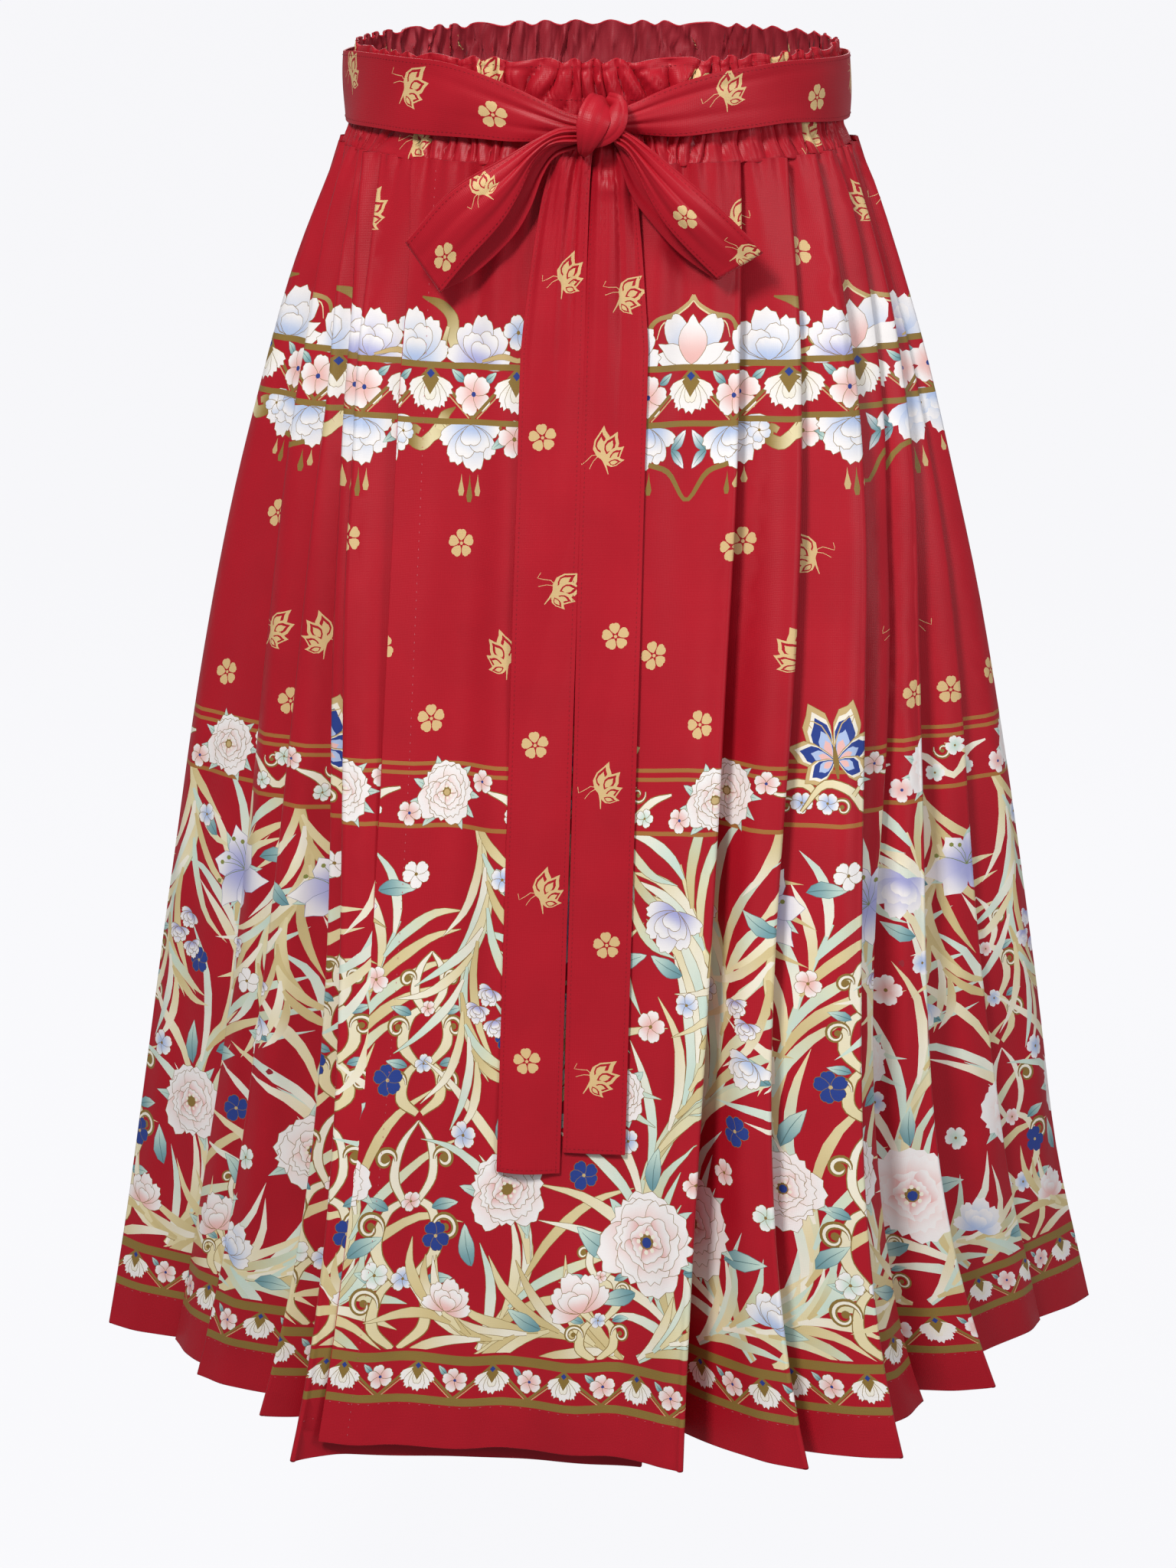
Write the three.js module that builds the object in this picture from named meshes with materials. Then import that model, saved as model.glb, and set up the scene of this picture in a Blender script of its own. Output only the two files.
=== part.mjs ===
// A horse-face skirt as it is worn: a shirred waistband, a flat outer door panel at the front that
// laps over an under door, deep knife pleats on both sides, a flat back door, and a tied sash with
// a bow and two tails. Millimetres, +Z up, the front of the skirt faces -Y.
// The origin is the middle of the waist opening, where the wearer's waist holds the skirt up.
import * as THREE from "three";

// Driving sizes
const WALL = 1.2; // one layer of cloth
const FOLD_GAP = 2.4; // between the middles of the two layers at a pressed fold
const SEAM_GAP = 0.3; // between two pieces at a seam
const BAND_TOP = 21; // top of the ruffled waistband above the origin
const SEAM_Z = -33; // where the skirt cloth is sewn to the waistband
const HEM_Z = -749;
const UNDER_DOOR_DROP = 12; // the under door hangs this much lower than the outer one
const PLEAT_WAIST = { halfWidth: 144.5, halfDepth: 112 }; // outside of the pleats at the seam
const HIGH = { z: -175, halfWidth: 191, halfDepth: 129.5 };
const LOW = { z: -375, halfWidth: 235, halfDepth: 163 };
const HEM = { halfWidth: 300, halfDepth: 222 };
const PLEAT_INSET = 5; // depth of an inner fold at the waist
const DOOR_LAP = 6; // the under door's depth behind the outer door at the waist
const SASH_HEIGHT = 36;
const SASH_WALL = 1.6;
const SASH_HALF_WIDTH = 141;
const SASH_HALF_DEPTH = 111.5;

// The outline that the folds follow, an ellipse at each of four heights
const LEVELS = [{ z: SEAM_Z, ...PLEAT_WAIST }, HIGH, LOW, { z: HEM_Z, ...HEM }];

// Rows of a panel, as shares of the height from the seam to the hem
const ROWS = [0, 0.05, 0.12, 0.22, 0.34, 0.48, 0.64, 0.82, 1];

// Fold edges of the pleats, in the order met going round from the front to the right, the back and
// the left. leads is +1 where the edge points the way the table runs and -1 where it points back.
// waist, high and low are its angles round the outline at those heights, in degrees from the front,
// and hemX, hemY its place at the hem. startX, startY say where the neighbouring face comes out
// from under the edge at the hem.
const FOLD_COLUMNS = ["name", "leads", "waist", "high", "low", "hemX", "hemY", "startX", "startY"];
const table = (rows) =>
  rows.map((row) => Object.fromEntries(FOLD_COLUMNS.map((key, i) => [key, row[i]])));

const DOOR_EDGE = table([["doorRight", 1, 32.4, 23.3, 16.4, 47, -227, 57, -179]])[0];

const RIGHT_FOLDS = table([
  ["front1", 1, 44.5, 35, 25.5, 117, -218, 118, -193],
  ["front2", 1, 55.2, 48, 38.2, 172, -203, 175.5, -150],
  ["front3", 1, 64.1, 56, 42.5, 192, -132, 193.5, -114],
  ["front4", 1, 72, 63.6, 51.5, 232, -112, 237, -57],
  ["front5", 1, 79, 71, 62, 271.5, -18, 272, -12],
  ["front6", 1, 86, 82, 83, 304, 22, 277, 27],
  ["back1", -1, 96, 97, 98, 292, 52, 266, 46],
  ["back2", -1, 108, 110, 112, 267, 101, 246, 84],
  ["back3", -1, 120, 123, 127, 226, 146, 211, 123],
  ["back4", -1, 133, 137, 141, 172, 182, 163, 156],
]);

const BACK_DOOR_EDGES = table([
  ["backRight", -1, 147, 151, 155, 112, 206, 106, 178],
  ["backLeft", 1, 213, 209, 205, -112, 206, -106, 178],
]);

const LEFT_FOLDS = table([
  ["back5", 1, 227, 223, 219, -172, 182, -163, 156],
  ["back6", 1, 240, 237, 233, -226, 146, -211, 123],
  ["back7", 1, 252, 250, 248, -267, 101, -246, 84],
  ["back8", 1, 264, 263, 262, -290, 48, -266, 42],
  ["front7", -1, 274.5, 278, 277, -297, -19, -271, 2],
  ["front8", -1, 286.5, 299, 304, -257, -44, -258, -38],
  ["front9", -1, 294.5, 308.4, 313, -236, -96, -239, -70],
  ["front10", -1, 299.8, 313.5, 321.5, -194, -152, -197, -118],
]);

const UNDER_EDGE = table([["underLeft", -1, 305.4, 316.2, 323.7, -176, -188, -181, -152]])[0];

// The outer door across the front, from its free left edge to its pressed right edge
const DOOR_LEFT = { waist: -43.3, high: -34.4, low: -30.5 };
const DOOR_HEM = [
  { x: -160, y: -186 },
  { x: -96, y: -187 },
  { x: -44, y: -191 },
  { x: 0, y: -204 },
  { x: 47, y: -227 },
];
const DOOR_WAVES = 5;
const DOOR_WAVE_DEPTH = 1.8;
const DOOR_POINTS = 20;

// The under door behind it, from the strip that shows to its own free edge
const UNDER_HEM = [
  { x: -176, y: -188 },
  { x: -150, y: -177 },
  { x: -96, y: -174 },
  { x: -44, y: -179 },
  { x: 0, y: -191 },
  { x: 25, y: -198 },
];
const UNDER_RIGHT = { waist: 15, high: 12, low: 10 };
const UNDER_POINTS = 12;

const rad = (degrees) => (degrees * Math.PI) / 180;
const mix = (a, b, share) => a + (b - a) * share;
const point = (x, y) => new THREE.Vector2(x, y);

// A value at a height, by the cubic curve through its four known heights
const LEVEL_SHARES = LEVELS.map(({ z }) => (SEAM_Z - z) / (SEAM_Z - HEM_Z));
function throughLevels(values, t) {
  return values.reduce((sum, value, i) => {
    const others = LEVEL_SHARES.filter((_, k) => k !== i);
    return sum + value * others.reduce((f, o) => (f * (t - o)) / (LEVEL_SHARES[i] - o), 1);
  }, 0);
}

// A point on an outline, inset from it, with x at the angle's place
function onOutline({ halfWidth, halfDepth }, degrees, ratio = 1) {
  const x = halfWidth * Math.sin(rad(degrees));
  const across = Math.sin(rad(degrees));
  const depth = Math.sqrt(Math.max(0, ratio * ratio - across * across));
  return point(x, -Math.sign(Math.cos(rad(degrees))) * halfDepth * depth);
}

// A line of the skirt from the seam to the hem, given by its angles and its place at the hem. Where
// the hem lies inside or outside the outline, the line leaves the outline evenly on its way down.
function lineAt({ waist, high, low, hemX, hemY, inset = 0 }, t) {
  const hemRatio = Math.hypot(hemX / HEM.halfWidth, hemY / HEM.halfDepth);
  const waistRatio = 1 - inset / PLEAT_WAIST.halfDepth;
  const at = LEVELS.map((level, i) => {
    if (i === 3) return point(hemX, hemY);
    return onOutline(level, [waist, high, low][i], mix(waistRatio, hemRatio, LEVEL_SHARES[i]));
  });
  return point(
    throughLevels(at.map((p) => p.x), t),
    throughLevels(at.map((p) => p.y), t),
  );
}

// A point at the waist, inset from the outside of the pleats
const waistPoint = (degrees, inset) =>
  point(
    (PLEAT_WAIST.halfWidth - inset) * Math.sin(rad(degrees)),
    -(PLEAT_WAIST.halfDepth - inset) * Math.cos(rad(degrees)),
  );

// A polyline's point at a share of its length in x and y, by even steps between its corners
function along(corners, share) {
  const place = Math.min(share, 0.99999) * (corners.length - 1);
  const i = Math.floor(place);
  const a = corners[Math.max(i - 1, 0)];
  const b = corners[i];
  const c = corners[i + 1];
  const d = corners[Math.min(i + 2, corners.length - 1)];
  const s = place - i;
  const curve = (p, q, r, v) =>
    q + 0.5 * s * (r - p + s * (2 * p - 5 * q + 4 * r - v + s * (3 * (q - r) + v - p)));
  return point(curve(a.x, b.x, c.x, d.x), curve(a.y, b.y, c.y, d.y));
}

// The edge of a fold at the share t of the height
const edgeAt = (fold, t) => lineAt(fold, t);

// The hidden inner fold that belongs to an edge. neighbour is the edge that its other layer runs to.
const HIDDEN_RUN = 18;
const UNDERLAP_SHARE = 0.45;
const MOST_UNDERLAP = 7; // degrees round the waist
function innerAt(fold, neighbour, t) {
  const apart = neighbour ? Math.abs(neighbour.waist - fold.waist) : 12;
  const lap = Math.min(MOST_UNDERLAP, apart * UNDERLAP_SHARE);
  const top = waistPoint(fold.waist - fold.leads * lap, PLEAT_INSET + FOLD_GAP / 2);
  const start = point(fold.startX, fold.startY);
  const bottom = start.clone();
  if (neighbour) {
    const away = start.clone().sub(point(neighbour.hemX, neighbour.hemY)).normalize();
    bottom.addScaledVector(away, HIDDEN_RUN);
  }
  const fromTop = top.sub(edgeAt(fold, 0));
  const fromBottom = bottom.sub(edgeAt(fold, 1));
  return edgeAt(fold, t).add(fromTop.lerp(fromBottom, t));
}

// A turning point of the cloth's path. A pressed one is split into the two layers of a fold.
const turn = (at, pressed = true) => ({ at, pressed });
const innerTurn = (at) => ({ at, pressed: true, inner: true });

// Splits the pressed turns, so that a fold is a small flat cap and its layers stay apart
function pathOf(turns) {
  const path = [];
  turns.forEach(({ at, pressed }, i) => {
    if (!pressed || i === 0 || i === turns.length - 1) {
      path.push(at);
      return;
    }
    const into = at.clone().sub(turns[i - 1].at).normalize();
    const out = turns[i + 1].at.clone().sub(at).normalize();
    const side = Math.sign(into.cross(out)) || 1;
    const back = out.clone().sub(into).normalize();
    const cap = point(-back.y, back.x);
    const turned = point(-into.y * side, into.x * side);
    if (cap.dot(turned) < 0) cap.negate();
    const opening = into.dot(out) < 0 ? 1 : 0.4;
    path.push(at.clone().addScaledVector(cap, (-FOLD_GAP / 2) * opening));
    path.push(at.clone().addScaledVector(cap, (FOLD_GAP / 2) * opening));
  });
  return path;
}

// The two sides of a wall round a path, with mitred corners
const MOST_MITRE = 1.6;
function sidesOf(path, wall) {
  const left = [];
  const right = [];
  path.forEach((at, i) => {
    const before = i > 0 ? at.clone().sub(path[i - 1]).normalize() : null;
    const after = i < path.length - 1 ? path[i + 1].clone().sub(at).normalize() : null;
    const a = before || after;
    const b = after || before;
    const normal = point(-(a.y + b.y), a.x + b.x).normalize();
    const reach = Math.min(MOST_MITRE, 1 / Math.max(0.2, normal.dot(point(-a.y, a.x))));
    left.push(at.clone().addScaledVector(normal, (wall / 2) * reach));
    right.push(at.clone().addScaledVector(normal, (-wall / 2) * reach));
  });
  return { left, right };
}

// A closed mesh from rows of two-sided sections. Each row is { left, right } of Vector3 lists.
function wallGeometry(rows, closed = false) {
  const positions = [];
  const index = [];
  const count = rows[0].left.length;
  rows.forEach((row) => {
    row.left.forEach((p) => positions.push(p.x, p.y, p.z));
    row.right.forEach((p) => positions.push(p.x, p.y, p.z));
  });
  const id = (row, side, i) => row * 2 * count + side * count + (i % count);
  const quad = (a, b, c, d) => index.push(a, b, c, a, c, d);
  const spans = closed ? count : count - 1;
  const last = rows.length - 1;
  for (let r = 0; r < last; r += 1) {
    for (let i = 0; i < spans; i += 1) {
      quad(id(r, 0, i), id(r, 0, i + 1), id(r + 1, 0, i + 1), id(r + 1, 0, i));
      quad(id(r, 1, i), id(r + 1, 1, i), id(r + 1, 1, i + 1), id(r, 1, i + 1));
    }
    if (!closed) {
      quad(id(r, 1, 0), id(r, 0, 0), id(r + 1, 0, 0), id(r + 1, 1, 0));
      quad(id(r, 0, count - 1), id(r, 1, count - 1), id(r + 1, 1, count - 1), id(r + 1, 0, count - 1));
    }
  }
  for (let i = 0; i < spans; i += 1) {
    quad(id(0, 1, i), id(0, 1, i + 1), id(0, 0, i + 1), id(0, 0, i));
    quad(id(last, 0, i), id(last, 0, i + 1), id(last, 1, i + 1), id(last, 1, i));
  }
  const geometry = new THREE.BufferGeometry();
  geometry.setAttribute("position", new THREE.Float32BufferAttribute(positions, 3));
  geometry.setIndex(index);
  return facingOut(geometry);
}

// Turns every face round if the mesh's volume comes out negative
function facingOut(geometry) {
  const at = geometry.getAttribute("position");
  const index = geometry.getIndex();
  const corner = (k) => new THREE.Vector3().fromBufferAttribute(at, index.getX(k));
  let volume = 0;
  for (let k = 0; k < index.count; k += 3) {
    volume += corner(k).dot(corner(k + 1).cross(corner(k + 2)));
  }
  if (volume < 0) {
    for (let k = 0; k < index.count; k += 3) {
      const kept = index.getX(k);
      index.setX(k, index.getX(k + 1));
      index.setX(k + 1, kept);
    }
  }
  geometry.computeVertexNormals();
  return geometry;
}

// A skirt panel: its path at each row, made into a wall from the seam to the hem
function panelGeometry(pathAt, hemZ = HEM_Z) {
  const rows = ROWS.map((t) => {
    const { left, right } = sidesOf(pathAt(t), WALL);
    const z = mix(SEAM_Z, hemZ, t);
    const lift = (p) => new THREE.Vector3(p.x, p.y, z);
    return { left: left.map(lift), right: right.map(lift) };
  });
  return wallGeometry(rows);
}

// The hidden inner folds of a run of pleats. Going round, each visible face runs between an inner
// fold and an edge, and the inner fold that turns under it stays behind it.
const KEPT_BEHIND = 3.8;
function innersOf(all, t) {
  const inners = all.map((fold, i) => {
    const neighbour = all[i + fold.leads];
    return innerAt(fold, neighbour && neighbour.leads === fold.leads ? neighbour : null, t);
  });
  const settle = (i, from, to) => {
    const run = to.clone().sub(from).normalize();
    const inward = point(-run.y, run.x);
    const behind = inners[i].clone().sub(from).dot(inward);
    if (behind < KEPT_BEHIND) inners[i].addScaledVector(inward, KEPT_BEHIND - behind);
  };
  const last = all.length - 1;
  for (let i = 1; i < last; i += 1) {
    if (all[i].leads > 0) settle(i, inners[i - 1], edgeAt(all[i], t));
  }
  for (let i = last - 1; i > 0; i -= 1) {
    if (all[i].leads < 0) settle(i, edgeAt(all[i], t), inners[i + 1]);
  }
  return inners;
}

// The turns of a run of pleats, from one hidden fold to the next, each face with a middle point
const FACE_CROWN = 0.05; // how far a face bellies out, as a share of its width
function pleatTurns(folds, before, after, t) {
  const all = [before, ...folds, after];
  const inners = innersOf(all, t);
  const edges = all.map((fold) => edgeAt(fold, t));
  const turns = [];
  const face = (from, to) => {
    const run = to.clone().sub(from);
    const out = point(run.y, -run.x).multiplyScalar(FACE_CROWN * t);
    turns.push(turn(from.clone().lerp(to, 0.5).add(out), false));
  };
  all.forEach((fold, i) => {
    const next = all[i + 1];
    const isFirst = i === 0;
    const isLast = !next;
    if (fold.leads > 0) {
      if (!isFirst) turns.push(turn(edges[i]));
      if (!isLast) turns.push(innerTurn(inners[i]));
      if (next && next.leads > 0) face(inners[i], edges[i + 1]);
    } else {
      if (!isFirst) turns.push(innerTurn(inners[i]));
      if (!isLast) turns.push(turn(edges[i]));
      if (next) face(edges[i], inners[i + 1]);
    }
  });
  return turns;
}

// The outer door's face at one row: soft gathers under the band that die out down the panel
function doorFace(t) {
  const face = [];
  for (let i = 0; i <= DOOR_POINTS; i += 1) {
    const s = i / DOOR_POINTS;
    const hem = along(DOOR_HEM, s);
    const line = {
      waist: mix(DOOR_LEFT.waist, DOOR_EDGE.waist, s),
      high: mix(DOOR_LEFT.high, DOOR_EDGE.high, s),
      low: mix(DOOR_LEFT.low, DOOR_EDGE.low, s),
      hemX: hem.x,
      hemY: hem.y,
    };
    const fade = Math.sin(Math.PI * s) * Math.max(0, 1 - t / 0.6);
    const wave = DOOR_WAVE_DEPTH * Math.sin(2 * Math.PI * DOOR_WAVES * s) * fade;
    const at = lineAt(line, t);
    at.y += wave;
    face.push(at);
  }
  return face;
}

const SEAM_ROOM = WALL / 2 + SEAM_GAP;

function outerDoorPath(t) {
  const turns = doorFace(t).map((p, i) => turn(p, i === DOOR_POINTS));
  turns.push(turn(innerAt(DOOR_EDGE, RIGHT_FOLDS[0], t)));
  return pathOf(turns);
}

// A side's pleats are two pieces of cloth. Their seam lies hidden at the side, on the stretch that
// runs from one inner fold to the next. half is 0 for the first piece and 1 for the second.
const SIDE_SEAM_GAP = 0.7; // the two ends twist against each other on the way down
function halfOf(turns, half) {
  const k = turns.findIndex((item, i) => item.inner && turns[i + 1] && turns[i + 1].inner);
  const from = turns[k].at;
  const to = turns[k + 1].at;
  const seam = from.clone().lerp(to, 0.5);
  const run = to.clone().sub(from).normalize();
  const end = seam.addScaledVector(run, (half ? SIDE_SEAM_GAP : -SIDE_SEAM_GAP) / 2);
  return half ? [turn(end), ...turns.slice(k + 1)] : [...turns.slice(0, k + 1), turn(end)];
}

// Ends where the pleats' first layer passes beneath the seam
function rightPath(t, half) {
  const turns = pleatTurns(RIGHT_FOLDS, DOOR_EDGE, BACK_DOOR_EDGES[0], t);
  turns[0] = turn(besideInner(DOOR_EDGE, RIGHT_FOLDS[0], t));
  turns[turns.length - 1] = turn(besideInner(BACK_DOOR_EDGES[0], RIGHT_FOLDS.at(-1), t));
  return pathOf(halfOf(turns, half));
}

// A seam lies in an inner fold: this is its far layer, one fold's gap behind the near one
function besideInner(fold, neighbour, t) {
  const inner = innerAt(fold, neighbour, t);
  const edge = edgeAt(fold, t);
  const far = edgeAt(neighbour, t);
  const near = edge.clone().sub(inner).normalize();
  const other = far.clone().sub(inner).normalize();
  const step = other.clone().addScaledVector(near, -other.dot(near)).normalize();
  return inner.addScaledVector(step, WALL + SEAM_GAP + 0.3).addScaledVector(other, SEAM_ROOM);
}

const BACK_DOOR_POINTS = 6;
const BACK_DOOR_BELLY = 16;
function backDoorPath(t) {
  const [right, left] = BACK_DOOR_EDGES;
  const turns = [turn(innerAt(right, RIGHT_FOLDS.at(-1), t))];
  const from = edgeAt(right, t);
  const to = edgeAt(left, t);
  for (let i = 0; i <= BACK_DOOR_POINTS; i += 1) {
    const s = i / BACK_DOOR_POINTS;
    const at = from.clone().lerp(to, s);
    at.y += BACK_DOOR_BELLY * 4 * s * (1 - s);
    turns.push(turn(at, i === 0 || i === BACK_DOOR_POINTS));
  }
  turns.push(turn(innerAt(left, LEFT_FOLDS[0], t)));
  return pathOf(turns);
}

function leftPath(t, half) {
  const turns = pleatTurns(LEFT_FOLDS, BACK_DOOR_EDGES[1], UNDER_EDGE, t);
  turns[0] = turn(besideInner(BACK_DOOR_EDGES[1], LEFT_FOLDS[0], t));
  turns[turns.length - 1] = turn(besideInner(UNDER_EDGE, LEFT_FOLDS.at(-1), t));
  return pathOf(halfOf(turns, half));
}

function underDoorPath(t) {
  const turns = [turn(innerAt(UNDER_EDGE, LEFT_FOLDS.at(-1), t)), turn(edgeAt(UNDER_EDGE, t))];
  for (let i = 1; i <= UNDER_POINTS; i += 1) {
    const s = i / UNDER_POINTS;
    const hem = along(UNDER_HEM, s);
    const line = {
      waist: mix(UNDER_EDGE.waist - 360, UNDER_RIGHT.waist, s),
      high: mix(UNDER_EDGE.high - 360, UNDER_RIGHT.high, s),
      low: mix(UNDER_EDGE.low - 360, UNDER_RIGHT.low, s),
      hemX: hem.x,
      hemY: hem.y,
      inset: DOOR_LAP * Math.min(1, s * 3),
    };
    turns.push(turn(lineAt(line, t), false));
  }
  return pathOf(turns);
}

// The shirred waistband: a ring of gathers in two channels, with a small ruffle on top
const BAND_WALL = 1.8;
const BAND_GATHERS = 68;
const POINTS_A_GATHER = 4;
const BAND_ROWS = [
  { z: SEAM_Z + SEAM_GAP, halfWidth: 142, halfDepth: 110, wave: 1.3 },
  { z: -24, halfWidth: 136, halfDepth: 105, wave: 1.9 },
  { z: 0, halfWidth: 134.5, halfDepth: 104, wave: 0.9 },
  { z: 12, halfWidth: 134.5, halfDepth: 104, wave: 2.2 },
  { z: BAND_TOP, halfWidth: 134, halfDepth: 103.5, wave: 1.5 },
];
function waistbandGeometry() {
  const count = BAND_GATHERS * POINTS_A_GATHER;
  const rows = BAND_ROWS.map(({ z, halfWidth, halfDepth, wave }) => {
    const left = [];
    const right = [];
    for (let i = 0; i < count; i += 1) {
      const angle = (2 * Math.PI * i) / count;
      const uneven = 1 + 0.35 * Math.sin(5 * angle) * Math.cos(3 * angle);
      const out = wave * uneven * Math.sin(BAND_GATHERS * angle + Math.sin(7 * angle));
      const ring = (grow) =>
        new THREE.Vector3(
          (halfWidth + out + grow) * Math.sin(angle),
          -(halfDepth + out + grow) * Math.cos(angle),
          z,
        );
      left.push(ring(BAND_WALL / 2));
      right.push(ring(-BAND_WALL / 2));
    }
    return { left, right };
  });
  return wallGeometry(rows, true);
}

// A ribbon through stations. Each has a middle, a half width along across, and a face normal.
function ribbonGeometry(stations, wall, steps = 4) {
  const rows = stations.map(({ middle, across, normal, halfWidth, crown = 0 }) => {
    const left = [];
    const right = [];
    for (let i = 0; i <= steps; i += 1) {
      const s = (2 * i) / steps - 1;
      const at = middle.clone().addScaledVector(across, halfWidth * s);
      at.addScaledVector(normal, crown * (1 - s * s));
      left.push(at.clone().addScaledVector(normal, wall / 2));
      right.push(at.clone().addScaledVector(normal, -wall / 2));
    }
    return { left, right };
  });
  return wallGeometry(rows);
}

// One stretch of the sash round the band, between two angles, narrowing where it meets the knot
const KNOT_START = 6; // degrees from the front where the sash comes out of the knot
const KNOT_TAPER = 19; // degrees over which it spreads to its full height
const KNOT_HEIGHT = 12;
const KNOT_MIDDLE_Z = -12;
const SASH_MIDDLE_Z = -5;
const BEHIND_KNOT = 0.1; // degrees from the front to where each stretch ends behind the knot
const SASH_CROWN = 3; // the gathered end bellies forward
function sashGeometry(fromAngle, toAngle, steps) {
  const stations = [];
  for (let i = 0; i <= steps; i += 1) {
    const degrees = mix(fromAngle, toAngle, i / steps);
    const away = Math.abs(((degrees + 180) % 360) - 180);
    const gather = Math.min(1, Math.max(0, (away - KNOT_START) / KNOT_TAPER));
    const eased = gather * gather * (3 - 2 * gather);
    const fall = Math.max(0, Math.cos(rad(away))) ** 2;
    const normal = new THREE.Vector3(
      Math.sin(rad(degrees)) / SASH_HALF_WIDTH,
      -Math.cos(rad(degrees)) / SASH_HALF_DEPTH,
      0,
    ).normalize();
    const middle = new THREE.Vector3(
      SASH_HALF_WIDTH * Math.sin(rad(degrees)),
      -SASH_HALF_DEPTH * Math.cos(rad(degrees)),
      mix(SASH_MIDDLE_Z, KNOT_MIDDLE_Z, fall),
    );
    stations.push({
      middle,
      normal,
      across: new THREE.Vector3(0, 0, 1),
      halfWidth: mix(KNOT_HEIGHT, SASH_HEIGHT, eased) / 2,
      crown: SASH_CROWN * (1 - eased),
    });
  }
  return ribbonGeometry(stations, SASH_WALL);
}

// The knot: a rounded bundle of the wrapped sash
const KNOT = { x: 0, y: -122.9, z: -14, width: 27, depth: 15, height: 24 };
function knotGeometry() {
  const profile = new THREE.SphereGeometry(0.5, 18, 12);
  const at = profile.getAttribute("position");
  for (let i = 0; i < at.count; i += 1) {
    const p = new THREE.Vector3().fromBufferAttribute(at, i);
    const pinch = 1 - 0.16 * Math.cos(2 * Math.PI * p.y);
    at.setXYZ(i, p.x * KNOT.width * pinch, p.z * KNOT.depth, -p.y * KNOT.height);
  }
  profile.rotateY(rad(-24));
  profile.translate(KNOT.x, KNOT.y, KNOT.z);
  profile.deleteAttribute("normal");
  profile.deleteAttribute("uv");
  return profile;
}

// A bow loop: the ribbon runs out from the knot in front, turns at its end and comes back behind
const LOOP_WALL = 1.5;
const LOOP_STEPS = 7;
const LOOPS = [
  { name: "bow_loop_left", root: [-12.5, -18.5], end: [-93, -89], puff: 9 },
  { name: "bow_loop_right", root: [13.8, -18.5], end: [76, -93], puff: 10 },
];
const LOOP_ROOT_HALF = 5;
const LOOP_END_HALF = 17.5;
const LOOP_ROOT_Y = -123.5;
const LOOP_FALL_BACK = 4; // the loops hang round the hips
const LOOP_APART = 5; // between the two layers at the root and the end
function loopGeometry({ root, end, puff }) {
  const from = new THREE.Vector3(root[0], 0, root[1]);
  const to = new THREE.Vector3(end[0], 0, end[1]);
  const run = to.clone().sub(from);
  const forward = run.clone().normalize();
  const across = new THREE.Vector3(-forward.z, 0, forward.x);
  if (across.z < 0) across.negate();
  const outward = new THREE.Vector3(0, -1, 0);
  const station = (s, layer) => {
    const swell = Math.sin(Math.PI * Math.min(1, s));
    const back = LOOP_FALL_BACK * s;
    const y = LOOP_ROOT_Y + back - layer * (LOOP_APART / 2) - (layer > 0 ? puff * swell : 0);
    const middle = from.clone().addScaledVector(run, s).setY(y);
    return {
      middle,
      across,
      normal: outward.clone().multiplyScalar(layer || 1),
      halfWidth: mix(LOOP_ROOT_HALF, LOOP_END_HALF, Math.min(1, s * 1.25) ** 0.7),
    };
  };
  const stations = [];
  for (let i = 0; i <= LOOP_STEPS; i += 1) stations.push(station(i / LOOP_STEPS, 1));
  const tip = station(1, 0);
  tip.middle.addScaledVector(forward, LOOP_APART / 2);
  tip.normal = forward.clone();
  stations.push(tip);
  for (let i = LOOP_STEPS; i >= 0; i -= 1) stations.push(station(i / LOOP_STEPS, -1));
  return ribbonGeometry(stations, LOOP_WALL, 2);
}

// The outer door's outline where a piece lies on it: the chord under the piece, moved out to clear
// whatever stands forward of it
const REST_SAMPLES = 6;
function doorUnder(x, halfWidth, z) {
  const face = doorFace(Math.max(0, (SEAM_Z - z) / (SEAM_Z - HEM_Z)));
  const depthAt = (place) => {
    const i = face.findIndex((p, k) => k > 0 && p.x >= place);
    const b = face[i];
    const a = face[i - 1];
    return mix(a.y, b.y, (place - a.x) / (b.x - a.x));
  };
  const left = depthAt(x - halfWidth);
  const right = depthAt(x + halfWidth);
  let forward = 0;
  for (let k = 0; k <= REST_SAMPLES; k += 1) {
    const s = k / REST_SAMPLES;
    const place = x + halfWidth * (2 * s - 1);
    forward = Math.max(forward, mix(left, right, s) - depthAt(place));
  }
  const across = new THREE.Vector3(2 * halfWidth, right - left, 0).normalize();
  return { y: (left + right) / 2 - forward, across };
}

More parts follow.
